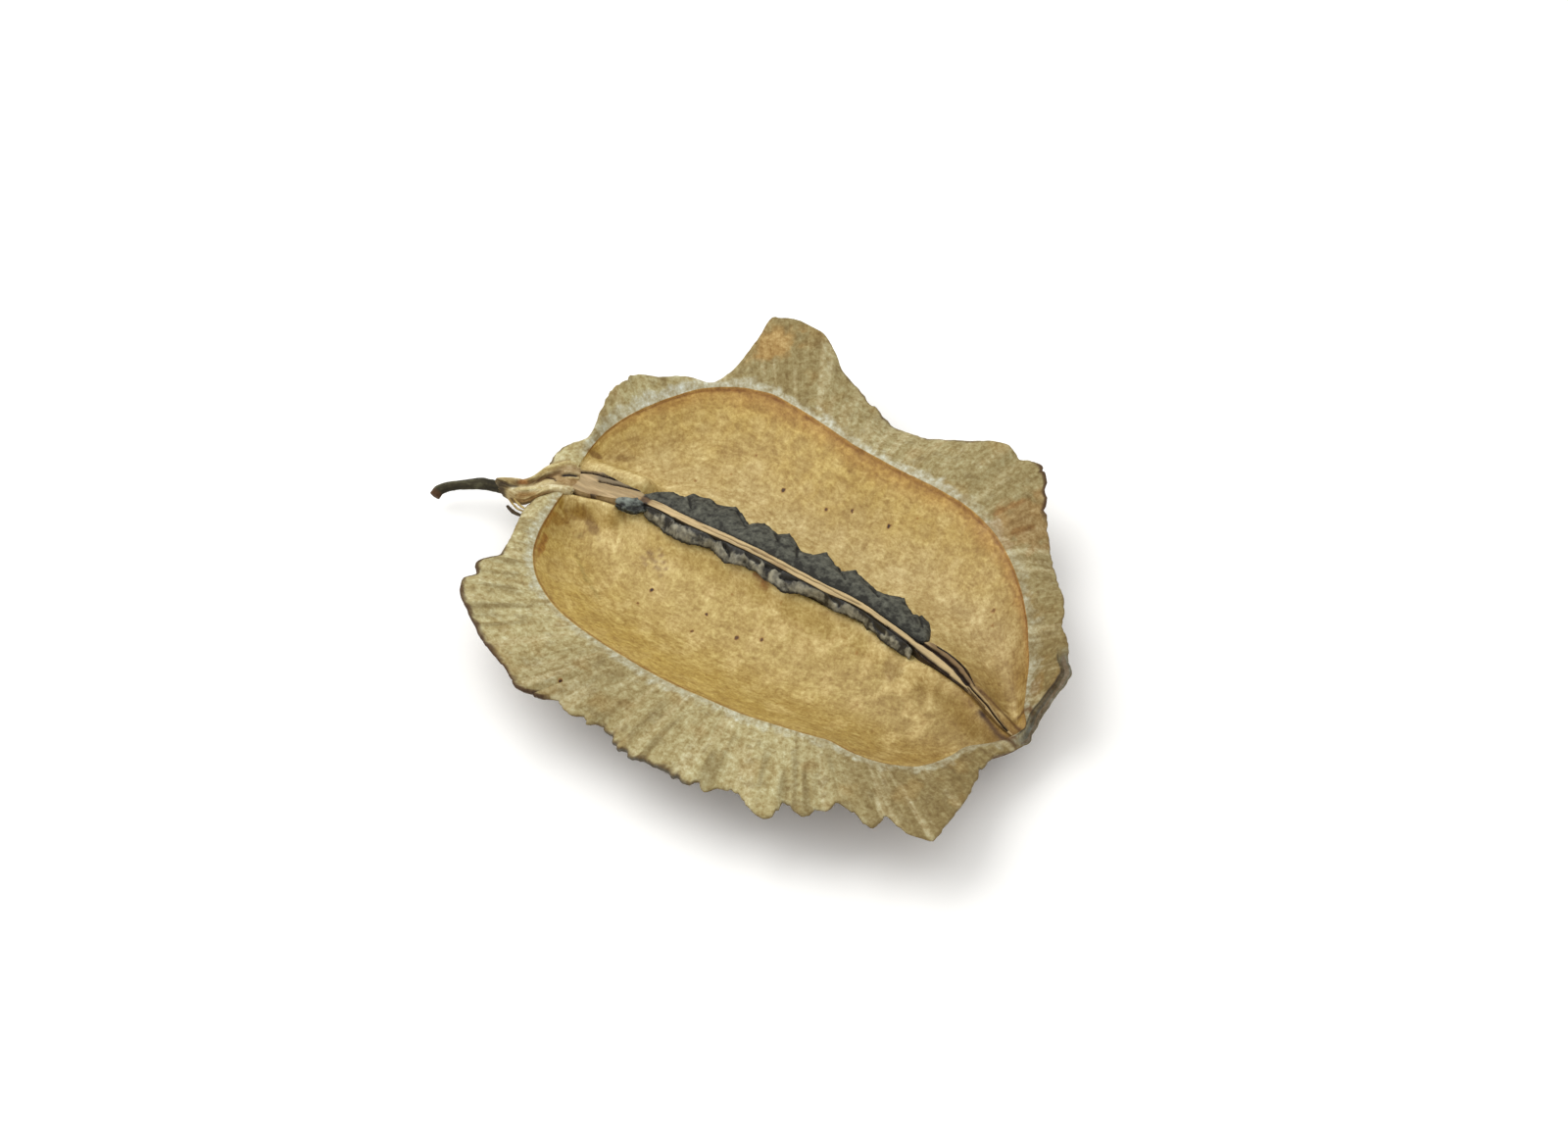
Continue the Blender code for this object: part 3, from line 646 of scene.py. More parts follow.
# The rim's own brown mixed with painted shade, by the table above.
rim = paint(np.broadcast_to(linear("#a4996e"), lining.shape), "#75643a", rim_brown_and_shade)
streaky = np.maximum(near_side, smooth_step(4, 14, root_x) * smooth_step(20, 12, root_x))
rim = paint(rim, "#625129", 0.5 * smooth_step(0.15, 0.8, ribs) * streaky * smooth_step(0.15, 0.5, rim_share))
rim = paint(rim, "#b3a780", 0.45 * smooth_step(0.15, 0.9, -ribs))
rim = paint(rim, "#6b5a38", 0.35 * smooth_step(0.35, 0.9, grain))
rim = paint(rim, "#8f7440", 0.35 * smooth_step(0.2, 0.9, swirls))
neck_gap = smooth_step(-28.0, -28.6, root_x) * smooth_step(3.4, 2.2, root_y) * smooth_step(-3.4, -2.2, root_y)
chalk_edge = rim_mm / 2.9 + 0.26 * grain
chalk = smooth_step(0.5, 0.1, chalk_edge) * (0.8 + 0.3 * value_noise(x_mm / 2.1, y_mm / 2.1, 9.0))
patchy = smooth_step(4, 12, root_x) * smooth_step(4, 8, root_y) * smooth_step(0.4, -0.3, swirls)
chalk = chalk * (0.85 - 0.25 * smooth_step(10, 24, root_x)) * (1 - neck_gap) * (1 - 0.6 * patchy)
rim = paint(rim, "#a7a48c", chalk)
rim = paint(rim, "#bdbba8", 0.5 * chalk * smooth_step(6, 14, root_y) * smooth_step(10, 4, root_x))
print("mean colour of the rim, linear:", rim.mean((0, 1)).round(3))

# %% Border of the hollows
tint = np.where((inner_rings > 1)[..., None], rim, lining)
border_width = 0.010 + 0.016 * smooth_step(-24, -27.5, root_x) * smooth_step(-1, -4, root_y)
border = np.exp(-((inner_rings - 0.988) / border_width) ** 2)
border = border * (0.75 + 0.45 * value_noise(x_mm / 1.5, y_mm / 1.5, 5.5))
tint = paint(tint, "#7d511a", 0.95 * border * (1 - neck_gap))
beside_tip = smooth_step(16, 22, x_mm) * along_line(SEPTUM_LINE, 1.4) * (inner_rings <= 1)
tint = paint(tint, "#80602a", 0.75 * beside_tip)
print("colours for", tint[..., 0].size, "points of the inside")

# %% [markdown]
# Stains are soft oval patches and dark lines, in the order in which they are painted. Each row of the first
# table gives a place, half sizes and a turn, then the colour and how strongly it covers. The second gives
# the points of a line, its width, colour and strength: dark fibres at the tip, and painted shade in its
# cracks and grooves.

# %% Stains
STAINS = (
    (-26.6, -3.1, 1.9, 0.8, 20, "#8b6a24", 0.75), (-24.2, -3.0, 1.8, 0.7, -25, "#765723", 0.7),
    (-27.0, -4.9, 0.6, 1.8, -12, "#87611c", 0.7), (-24.6, -4.6, 1.0, 0.5, 70, "#8b733c", 0.6),
    (-25.6, -9.5, 2.3, 0.42, -67, "#8a5c16", 0.8), (-27.2, -6.2, 1.6, 0.3, -76, "#8a5c16", 0.6),
    (-26.9, 6.3, 1.9, 0.45, 40, "#7e5f26", 0.7), (-28.8, 4.2, 1.0, 0.4, 40, "#78561c", 0.75),
    (-3.8, -1.1, 1.9, 0.42, -20, "#7d4f16", 0.85), (-2.9, -0.55, 1.1, 0.25, -5, "#d2c294", 0.9),
    (-15.8, -3.4, 1.9, 0.28, -28, "#765a38", 0.7), (-14.8, -3.1, 1.5, 0.25, -35, "#7c5e40", 0.65),
    (-16.6, -3.9, 1.3, 0.25, -30, "#80623e", 0.6), (-21.5, -8.2, 2.6, 0.22, -38, "#766428", 0.6),
    (-19.0, -9.6, 2.0, 0.22, -30, "#766428", 0.5), (13.2, -2.6, 1.4, 1.0, -20, "#7d6234", 0.5),
    (-20.5, 24.5, 3.5, 2.4, 62, "#80683a", 0.6), (-20.3, 24.5, 3.1, 2.0, 62, "#a38550", 0.8),
    (-20.9, 22.6, 0.5, 0.35, 0, "#8a6834", 0.85),
    (14.5, 20.0, 5.5, 3.6, 50, "#957345", 0.45), (12.0, 20.4, 2.2, 0.4, 60, "#7a5423", 0.6),
    (14.6, 19.0, 1.6, 0.5, 55, "#74501f", 0.7),
    (8.4, 17.9, 1.7, 0.5, -8, "#8b6428", 0.55), (26.6, 3.8, 0.8, 2.0, 20, "#7b5c28", 0.5),
    (-31.6, 5.3, 1.2, 0.5, 60, "#6a4018", 0.7),
)
DARK_LINES = (
    (((24.6, -6.1), (25.2, -5.3), (26.4, -4.4), (27.4, -3.4), (28.1, -2.6)), 0.22, "#5e3c14", 0.85),
    (
        ((22.6, -0.3), (23.6, -0.4), (24.7, -0.6), (26.3, -0.8), (27.5, -1.2), (28.0, -1.3)),
        0.25, "#553610", 0.9,
    ),
    (((23.8, -2.4), (25.2, -2.8), (26.4, -3.2), (27.9, -3.3), (28.7, -3.3)), 0.3, "#4a2f0e", 0.95),
    (((24.0, -2.4), (24.2, -2.5)), 0.3, "#2c1606", 0.9),
    (((26.5, 0.7), (27.4, 1.2), (28.4, 0.4), (28.9, -1.0)), 0.22, "#5a3a14", 0.85),
    (((28.6, 6.3), (28.6, 4.1), (28.5, 2.2), (28.6, 0.5), (29.0, -1.3)), 0.28, "#4d3212", 0.8),
)
for x, y, half_long, half_wide, angle, code, amount in STAINS:
    tint = paint(tint, code, amount * patch(x, y, half_long, half_wide, angle))
for points, width, code, amount in DARK_LINES:
    tint = paint(tint, code, amount * along_line(points, width))
crest_line = np.exp(-((from_margin - 1.05) / 0.11) ** 2)
# The rolled lip's outer face is painted grey: partly the bark's own colour and partly painted shade on the
# face that turns away.
tint = paint(tint, "#5d5e53", 0.9 * rolled_lip * (inner_rings > 1))
tint = paint(tint, "#17150d", 0.9 * at_lip * crest_line * (inner_rings > 1))
print(len(STAINS), "stains and", len(DARK_LINES), "dark lines")

# %% [markdown]
# Dark bark shows on parts of the margin, where the rim's face has worn back. The margin is thicker at three
# places, and at the neck, where the stalk grew on. The back has low warts, as such pods do, and rests on a
# small flat. It isn't in the photograph, so its colour is a plain weathered brown.

# %% Margin
DARK_PLACES = (
    (-27.5, -19, 8, 1.0), (-20, -25.5, 7, 1.0), (-14, -28, 3, 1.0), (0, -28, 8, 0.8), (-8, 25, 5, 0.6),
    (2, 25.5, 5, 0.6), (14, 24.5, 4, 1.0), (-32.3, 1.5, 3, 0.7), (-30.5, -4, 2, 0.6),
)
THICK_PLACES = ((-26, -22, 9, 1.0), (-13.5, -27.5, 2.5, 1.0), (0, -28, 7, 0.7))
dark_edge = strongest(0.12, DARK_PLACES)
edge_reach = 0.03 + 0.30 * dark_edge + 0.18 * grain
bare = smooth_step(1.3, 0.5, from_margin / np.maximum(edge_reach, 0.05)) * (inner_rings > 1)
tint = paint(tint, "#432a12", bare * dark_edge * 0.9)

thick_edge = strongest(0, THICK_PLACES)
margin_thickness = (0.28 + 0.5 * thick_edge) * MM
at_neck = np.exp(-(np.abs(bearing % math.tau - math.pi) / 0.16) ** 2)
margin_thickness = margin_thickness + 1.2 * MM * at_neck
print("margin is", np.round([margin_thickness.min() / MM, margin_thickness.max() / MM], 2), "mm thick")

# %% Back
back_plan = plan(back_rings)
bx, by = back_plan[..., 0] / MM, back_plan[..., 1] / MM
warts = rough_noise(bx / 1.6, by / 1.6, 12.0, octaves=3) * smooth_step(1.95, 1.7, back_rings)
back_height = smooth_back(back_rings, margin_thickness) + 0.08 * MM * np.clip(warts, -1, 1)
back_height = np.maximum(back_height, 0.0)
tell("height of the back", back_height / MM)

# %% Both faces in one grid
top = np.concatenate([inside_plan, inside_height[..., None]], -1)
under = np.concatenate([back_plan, back_height[..., None]], -1)
under[:1, :, 2] = np.minimum(under[:1, :, 2], top[-1:, :, 2] - 0.2 * MM)
fold = blend(top[-1:], under[:1], 0.5)
fold[..., :2] = fold[..., :2] + (0.1 * MM / rim_width)[..., None] * rim_way
strip_top = np.concatenate([strip_line, strip_height(start_x)[..., None]], -1)
strip_under = np.concatenate([strip_line, smooth_back(0 * start_x, margin_thickness)[..., None]], -1)
grid = np.concatenate([strip_top, top, fold, under, strip_under])
print("valve grid:", grid.shape[:2])

# %% Colour of the back
back_tint = np.broadcast_to(linear("#6c5538"), under.shape)
back_tint = paint(back_tint, "#4c3820", 0.7 * smooth_step(-0.2, 0.8, warts))
back_tint = paint(back_tint, "#5f594a", 0.6 * smooth_step(1.1, 1.9, back_rings))
fold_tint = paint(np.broadcast_to(linear("#7a6a44"), fold.shape), "#3a2410", dark_edge)
# Grey on the margin's edge in the middle of the near side: partly the bark's outer face and partly painted
# shadow.
fold_tint = paint(fold_tint, "#4a483e", window(0, -28, 7))
valve_tint = np.concatenate([tint[:1], tint, fold_tint, back_tint, back_tint[-1:]])
print("colours for", valve_tint[..., 0].size, "points of the valve")

# %% [markdown]
# The fine fibres are drawn by a noise in coordinates of their own. On the rim these are the place on the
# hollows' edge and a fourteenth of the way out, which draws lines that run outwards. In the lining they are
# the way in from the edge and a seventh of the way along, which draws lines round each hollow.

# %% Fibre coordinates
rim_mask = np.concatenate([0 * bearing, on_rim + 0 * bearing, np.ones((2 + BACK_STEPS, COLUMNS))])
way_in = (1 - np.minimum(inner_rings, 1)) * np.linalg.norm(edge_line - strip_side, axis=-1) / MM
side_apart = 9 * np.sign(np.sin(bearing)) + 0 * inner_rings
lining_fibres = np.stack([way_in + 0.5 * swirls, x_mm / 6, side_apart], -1)
rim_fibres = np.stack([root_x + 0 * inner_rings, root_y + 0 * inner_rings, rim_mm / 14], -1)
inside_fibres = np.where((inner_rings > 1)[..., None], rim_fibres, lining_fibres)
back_out = np.clip(back_rings - 1, 0, 1) * rim_width / MM / 14
back_fibres = np.stack([root_x + 0 * back_rings, root_y + 0 * back_rings, back_out], -1)
fibres = np.concatenate([inside_fibres[:1], inside_fibres, rim_fibres[-1:], back_fibres, back_fibres[-1:]])
print("fibre coordinates for", fibres[..., 0].size, "points")

# %% [markdown]
# ### Dry pod wood
#
# The valve is unfinished wood: a smooth, slightly waxy lining where the seeds lay, and open, dusty fibre
# on the rim. Wood has an IOR near 1.5 and is rough, about 0.6 on the lining and 0.85 on the rim. Four noises
# shade it: swirls about 1.6 mm across, fibres about 0.5 mm wide, mottling of 0.7 mm and grit of 0.3 mm. A
# scale is cells per metre, so 620 is 1.6 mm, and the fibres' own coordinates are in millimetres. A table
# says how dark and how light each noise makes the wood. The shade is then bent by channel, so that dark
# places are also warmer, as they are in real wood.

# %% Patterns of the pod wood
pod_wood, tree, shader = new_material("dry pod wood, split open")
tint_node = add(tree, "ShaderNodeAttribute", attribute_name="tint")
rim_here = add(tree, "ShaderNodeAttribute", attribute_name="rim").outputs["Fac"]
fibre_place = add(tree, "ShaderNodeAttribute", attribute_name="fibres").outputs["Vector"]
place = add(tree, "ShaderNodeTexCoord").outputs["Object"]
patterns = {}
for name, vector, scale, detail, roughness, distortion in (
    ("swirl", place, 620.0, 8.0, 0.75, 1.2), ("fibre", fibre_place, 1.9, 6.0, 0.66, 0.6),
    ("mottle", place, 1500.0, 4.0, 0.65, 0.3), ("grit", place, 3200.0, 2.0, 0.6, 0.0),
):
    patterns[name] = add(tree, "ShaderNodeTexNoise", {
        "Vector": vector, "Scale": scale, "Detail": detail, "Roughness": roughness, "Distortion": distortion,
    })

# %% Shade of the pod wood
shades = []
for name, darkest, lightest in (
    ("swirl", 0.70, 1.23), ("fibre", 0.74, 1.20), ("fibre", 0.76, 1.15), ("mottle", 0.84, 1.11),
    ("mottle", 0.70, 1.26), ("grit", 0.82, 1.17),
):
    shades.append(add(tree, "ShaderNodeMapRange", {
        "Value": patterns[name], "From Min": 0.3, "From Max": 0.7, "To Min": darkest, "To Max": lightest,
    }))
lining_swirl, lining_fibre, rim_fibre, rim_mottle, any_mottle, any_grit = shades
lining_shade = add(tree, "ShaderNodeMath", {0: lining_swirl, 1: lining_fibre}, operation="MULTIPLY")
rim_shade = add(tree, "ShaderNodeMath", {0: rim_fibre, 1: rim_mottle}, operation="MULTIPLY")
both = {"Factor": rim_here, "A": lining_shade, "B": rim_shade}
shade = add(tree, "ShaderNodeMix", both, data_type="FLOAT")
shade = add(tree, "ShaderNodeMath", {0: shade, 1: any_mottle}, operation="MULTIPLY")
shade = add(tree, "ShaderNodeMath", {0: shade, 1: any_grit}, operation="MULTIPLY")
red = add(tree, "ShaderNodeMath", {0: shade, 1: 0.75}, operation="POWER")
blue = add(tree, "ShaderNodeMath", {0: shade, 1: 1.5}, operation="POWER")
warm_shade = add(tree, "ShaderNodeCombineXYZ", {0: red, 1: shade, 2: blue})
coloured = add(tree, "ShaderNodeVectorMath", {0: tint_node, 1: warm_shade}, operation="MULTIPLY")

# %% [markdown]
# The specks in the hollows are spots of resin, 0.2 to 0.4 mm in radius, with a brown halo and a nearly black
# core. Each one is the distance from its own place in plan, bent by a noise of 0.35 mm so that no two have
# the same outline, and only faces that look up have them. Each row gives a place, a radius and a darkness.

# %% Specks of resin
SPECKS = (
    (-14.3, -6.0, 0.34, 0.95), (-14.6, -8.0, 0.30, 0.6), (-7.7, -5.5, 0.28, 0.8), (-7.9, -7.8, 0.26, 0.7),
    (-3.5, -6.1, 0.40, 0.75), (-1.1, -5.1, 0.34, 0.75), (-6.4, -2.8, 0.22, 0.4), (-1.0, -1.7, 0.20, 0.4),
    (8.7, -2.3, 0.26, 0.4), (-16.7, 11.5, 0.26, 0.4), (-10.8, 12.6, 0.34, 0.8), (-5.5, 12.8, 0.30, 0.75),
    (-2.9, 13.8, 0.28, 0.75), (1.5, 14.1, 0.32, 0.85), (-19.3, 8.8, 0.30, 0.5), (-15.5, 14.4, 0.24, 0.5),
    (16.8, 10.6, 0.40, 0.6), (17.6, 9.2, 0.24, 0.45), (3.9, 15.8, 0.24, 0.4), (-12.0, -24.6, 0.34, 0.9),
)
flat_place = add(tree, "ShaderNodeVectorMath", {0: place, 1: (1, 1, 0)}, operation="MULTIPLY")
bent = add(tree, "ShaderNodeTexNoise", {"Vector": place, "Scale": 2800.0, "Detail": 2.0}).outputs["Color"]
offset = add(tree, "ShaderNodeVectorMath", {0: bent, 1: (0.5, 0.5, 0.5)}, operation="SUBTRACT")
moved = {0: offset, 1: (0.3 * MM,) * 3, 2: flat_place}
flat_bent = add(tree, "ShaderNodeVectorMath", moved, operation="MULTIPLY_ADD")
speckled = 0.0
for x, y, radius, darkness in SPECKS:
    middle = (x * MM, y * MM, 0)
    away = add(tree, "ShaderNodeVectorMath", {0: flat_bent, 1: middle}, operation="DISTANCE")
    inner, outer_edge = 0.35 * radius * MM, radius * MM
    amount = add(tree, "ShaderNodeMapRange", {
        "Value": away, "From Min": inner, "From Max": outer_edge, "To Min": darkness, "To Max": 0,
    })
    speckled = add(tree, "ShaderNodeMath", {0: speckled, 1: amount}, operation="MAXIMUM")
normal = add(tree, "ShaderNodeNewGeometry").outputs["Normal"]
height = add(tree, "ShaderNodeSeparateXYZ", {0: normal}).outputs["Z"]
facing_up = add(tree, "ShaderNodeMath", {0: height, 1: 0.0}, operation="GREATER_THAN")
speckled = add(tree, "ShaderNodeMath", {0: speckled, 1: facing_up}, operation="MULTIPLY")
for start, end, most, code in ((0.1, 0.6, 0.8, "#8c5a12"), (0.35, 0.85, 1.0, "#2c1604")):
    cover = add(tree, "ShaderNodeMapRange", {
        "Value": speckled, "From Min": start, "From Max": end, "To Min": 0, "To Max": most,
    })
    mixed = {"Factor": cover, "A": coloured, "B": (*linear(code), 1)}
    coloured = add(tree, "ShaderNodeMix", mixed, data_type="RGBA")
print(len(SPECKS), "specks of resin")

# %% Relief and gloss of the pod wood
gritty = {0: patterns["grit"], 1: 0.35, 2: patterns["mottle"]}
relief_height = add(tree, "ShaderNodeMath", gritty, operation="MULTIPLY_ADD")
bump = add(tree, "ShaderNodeBump", {"Height": relief_height, "Strength": 0.6, "Distance": 0.12 * MM})
dullness = add(tree, "ShaderNodeMapRange", {"Value": rim_here, "To Min": 0.58, "To Max": 0.85})
give(tree, shader, {"Base Color": coloured, "Normal": bump, "Roughness": dullness})
give(tree, shader, {"IOR": 1.5, "Specular IOR Level": 0.35})
print("pod wood is made of", len(tree.nodes), "nodes")

# %% The valve's mesh
put_mesh(
    "valve_skin", grid, pod_wood, "valve", start="fold", end="fold",
    attributes={"tint": valve_tint, "rim": rim_mask, "fibres": fibres},
)

# %% [markdown]
# ## Septum
#
# The septum is the wall between the two rows of seeds, seen on edge: a broad pinkish band at the stalk, a
# thin ridge between the flaps, and three ribs with deep grooves near the tip. It is a profile carried along
# its line, a little thinner than the solid towards the tip, and both of its ends sink into the valve. A curve
# with a bevel would do for a plain ridge, but a grid lets cracks and grooves be cut where they are.

# %% Points of the septum
STATIONS, TOP_STEPS, SIDE_STEPS, FOOT_STEPS = 560, 46, 5, 6
along = np.linspace(-29.7, 27.8, STATIONS)[:, None] * MM
share = np.linspace(0, 1, STATIONS)[:, None]


def ridge_line(x):
    """The septum's line, bent 0.2 mm nearer between the flaps."""
    return septum_line(x) - 0.2 * MM * smooth_step(-18 * MM, -13 * MM, x) * smooth_step(12 * MM, 8 * MM, x)


thinner = MM * (
    0.2 * smooth_step(18 * MM, 23 * MM, along)
    + 0.14 * smooth_step(4 * MM, 9 * MM, along) * smooth_step(16 * MM, 14 * MM, along)
)
narrowing = np.minimum(1, np.minimum(0.45 + 14 * share, 0.2 + 12 * (1 - share)))
half = (septum_half_width(along) - thinner) * narrowing
torn_band = smooth_step(-28.2 * MM, -26 * MM, along) * smooth_step(-19.2 * MM, -21.5 * MM, along)
third_rib = smooth_step(14 * MM, 16 * MM, along) * smooth_step(22 * MM, 20 * MM, along)
further = (0.75 * torn_band + 0.5 * third_rib) * MM
across_top = np.linspace(-1, 1, TOP_STEPS)[None, :]
side_down = np.linspace(0.98, 0, SIDE_STEPS)[None, :]
one_side, foot_across = np.ones((1, SIDE_STEPS)), np.linspace(1, -1, FOOT_STEPS + 2)[None, 1:-1]
across = np.concatenate([across_top, one_side, foot_across, -one_side], 1)
top_round = 1 - 0.05 * np.abs(across_top) ** 3
up = np.concatenate([top_round, side_down * 0.95, 0 * foot_across, side_down[:, ::-1] * 0.95], 1)
on_top = np.concatenate([np.ones((1, TOP_STEPS)), np.zeros((1, 2 * SIDE_STEPS + FOOT_STEPS))], 1)

sx = along / MM + 0 * across
sy = (ridge_line(along) + half * across + further * np.maximum(across, 0)) / MM
tell("septum along the pod", sx)
tell("septum across the pod", sy)

# %% [markdown]
# Cracks and grooves are lines in plan again, each with a width and a depth: a point near one is lowered, and
# further on its colour is darkened, as painted shade in the groove. The hole at the stalk end is a very short
# and deep one.

# %% Cracks and grooves
FAR_CRACK = ((-28.7, 0.6), (-27.2, 1.5), (-26.0, 1.75), (-24.6, 1.85), (-23.1, 2.0), (-20.6, 2.05))
INNER_CRACK = ((-26.1, 0.85), (-24.2, 1.0), (-22.6, 1.3), (-21.0, 1.5), (-20.4, 1.6))
MAIN_GROOVE = (
    (13.2, 0.45), (14.6, 0.3), (15.7, 0.25), (17.0, 0.2), (18.0, 0.1), (19.2, -0.1), (20.4, -0.5),
    (21.6, -0.9),
)
NEAR_GROOVE = (
    (10.5, -0.45), (12.6, -0.65), (14.6, -0.9), (15.6, -1.05), (17.0, -1.2), (18.2, -1.25), (19.5, -1.3),
)
GROOVES = (
    (MAIN_GROOVE, 0.24, 0.6),
    (((21.2, -0.75), (21.6, -0.9), (23.0, -1.3), (24.4, -1.7), (25.9, -2.15), (27.3, -2.4)), 0.13, 0.4),
    (NEAR_GROOVE, 0.32, 0.5),
    (((18.8, -1.3), (19.8, -1.35), (20.7, -1.45), (21.8, -1.6)), 0.2, 0.4),
    (((16.2, 0.92), (17.6, 0.9), (18.6, 0.85), (19.9, 0.55), (20.9, 0.1), (22.1, -0.5)), 0.12, 0.4),
    (((21.4, -1.15), (22.6, -1.55), (24.2, -2.05)), 0.10, 0.25),
    (FAR_CRACK, 0.15, 0.5), (INNER_CRACK, 0.13, 0.5),
    (((-29.35, -0.65), (-28.9, -0.25), (-28.2, 0.05)), 0.28, 0.9),
    (((-25.6, -1.25), (-24.2, -1.15), (-22.8, -0.95)), 0.12, 0.35),
    (((-13.0, 0.1), (-10.0, 0.05), (-6.0, 0.1), (-1.0, 0.0), (4.0, 0.15), (8.0, 0.3)), 0.09, 0.2),
)
groove = np.zeros_like(sx)
crack_wobble = 0.05 * rough_noise(sx / 0.9, sy, 7.7, octaves=2)
for points, width, depth in GROOVES:
    away, way = line_distance(sx, sy + crack_wobble, points)
    line = np.exp(-(away / width) ** 2) * smooth_step(0, 0.05, way) * smooth_step(1, 0.95, way)
    groove = np.maximum(groove, depth * line)
print("deepest groove is", groove.max().round(2), "mm")

# %% Height of the septum
foot = strip_height(along) - 0.3 * MM
sunk_end = smooth_step(-28.6 * MM, -29.7 * MM, along) + smooth_step(24 * MM, 27.8 * MM, along)
crest = septum_top(along) - 0.06 * MM - 0.5 * MM * sunk_end
crest = crest + 0.05 * MM * rough_noise(sx / 0.8, sy / 0.8, 3.3, octaves=3)
septum_z = blend(foot + 0 * across, crest, up) - groove * on_top * MM
grain_wobble = 0.03 * MM * value_noise(sx * 1.2, up * 4, 6.6)
septum_grid = np.stack([sx * MM, sy * MM + grain_wobble * (1 - on_top), septum_z], -1)
tell("height of the septum", septum_z / MM)

# %% [markdown]
# Its colours go from pinkish tan at the stalk, over pale straw on the ridge, to brown at the tip. The wood
# behind the main groove is darker. The walls get painted shade, near black between the flaps and brown at the
# tip, since they stand in shadow and only show where a groove or a flap lets them.

# %% Septum colours
fine = rough_noise(sx / 1.8, sy * 3, 4.4, octaves=3)
septum_tint = np.broadcast_to(linear("#b39c70"), septum_grid.shape)
septum_tint = paint(septum_tint, "#97815b", smooth_step(-17, -21, sx))
septum_tint = paint(septum_tint, "#bda37a", 0.5 * smooth_step(0.0, 0.7, fine) * smooth_step(6, -14, sx))
septum_tint = paint(septum_tint, "#8d7446", 0.7 * smooth_step(18, 24, sx))
beyond_groove = smooth_step(0.15, 0.35, sy - np.interp(sx, (15.7, 18.0, 20.4, 23.0), (0.3, 0.1, -0.5, -1.3)))
septum_tint = paint(septum_tint, "#5d4120", 0.8 * beyond_groove * smooth_step(14.5, 16, sx))
# Painted shade: a near-black band across the septum, as of a gap, where the flaps begin beside the crumb.
gap = smooth_step(-20.4, -20.0, sx) * smooth_step(-18.9, -19.3, sx)
septum_tint = paint(septum_tint, "#20140a", gap)
septum_tint = paint(septum_tint, "#7a5a34", 0.5 * smooth_step(0.1, 0.8, -fine))
between_cracks = smooth_step(0.95, 1.15, sy - 0.06 * (sx + 24))
between_cracks = between_cracks * smooth_step(-19.5, -21, sx) * smooth_step(-27, -26, sx)
septum_tint = paint(septum_tint, "#5c5240", 0.75 * between_cracks)
# Painted shade: grooves, cracks and the hole get darker with their depth.
septum_tint = paint(septum_tint, "#241306", smooth_step(0.08, 0.3, groove))
# Painted shade on the septum's walls, darkest between the flaps.
walls_in_shade = (1 - on_top) + 0 * sx
for start, full, full_end, end, code, amount in (
    (-21.5, -19.5, 14.5, 17, "#1c120a", 0.92), (14.5, 15.5, 21, 23, "#2b1b0b", 0.9),
    (21, 23, 40, 41, "#6b5026", 0.85),
):
    stretch = smooth_step(start, full, sx) * smooth_step(end, full_end, sx)
    septum_tint = paint(septum_tint, code, amount * walls_in_shade * stretch)
septum_fibres = np.stack([sx / 9, sy * 2.2, up * 2 + 0 * sx], -1)
print("mean colour of the septum, linear:", septum_tint.mean((0, 1)).round(3))

# %% [markdown]
# ### Septum wood
#
# The torn edge of the septum is denser and smoother than the valve, so it has a little more gloss. Its fibres
# run along it and are about 0.2 mm wide, so its noise is stretched along the piece.

# %% Septum wood
septum_wood, tree, shader = new_material("septum wood, torn edge")
tint_node = add(tree, "ShaderNodeAttribute", attribute_name="tint")
fibre_place = add(tree, "ShaderNodeAttribute", attribute_name="fibres").outputs["Vector"]
streak = add(tree, "ShaderNodeTexNoise", {
    "Vector": fibre_place, "Scale": 2.4, "Detail": 5.0, "Roughness": 0.65, "Distortion": 0.3,
})
shade = add(tree, "ShaderNodeMapRange", {
    "Value": streak, "From Min": 0.3, "From Max": 0.7, "To Min": 0.74, "To Max": 1.18,
})
shaded = add(tree, "ShaderNodeVectorMath", {0: tint_node, "Scale": shade}, operation="SCALE")
bump = add(tree, "ShaderNodeBump", {"Height": streak, "Strength": 0.6, "Distance": 0.1 * MM})
give(tree, shader, {"Base Color": shaded, "Normal": bump, "Roughness": 0.62, "Specular IOR Level": 0.35})
put_mesh(
    "septum_ridge", septum_grid, septum_wood, "septum",
    attributes={"tint": septum_tint, "fibres": septum_fibres},
)

# %% [markdown]
# ## Flaps of dried placenta
#
# The seeds hung from this tissue. It has dried to thin, dark, leathery flaps: a matte one that leans over
# the far hollow with a scalloped edge, and a narrow, crumpled and waxier one that hangs on the near side.
# Cloth would be simulated, but this has set hard, so each is a sheet worked out from a root line beside the
# ridge to its edge, with a thickness, folds and creases.

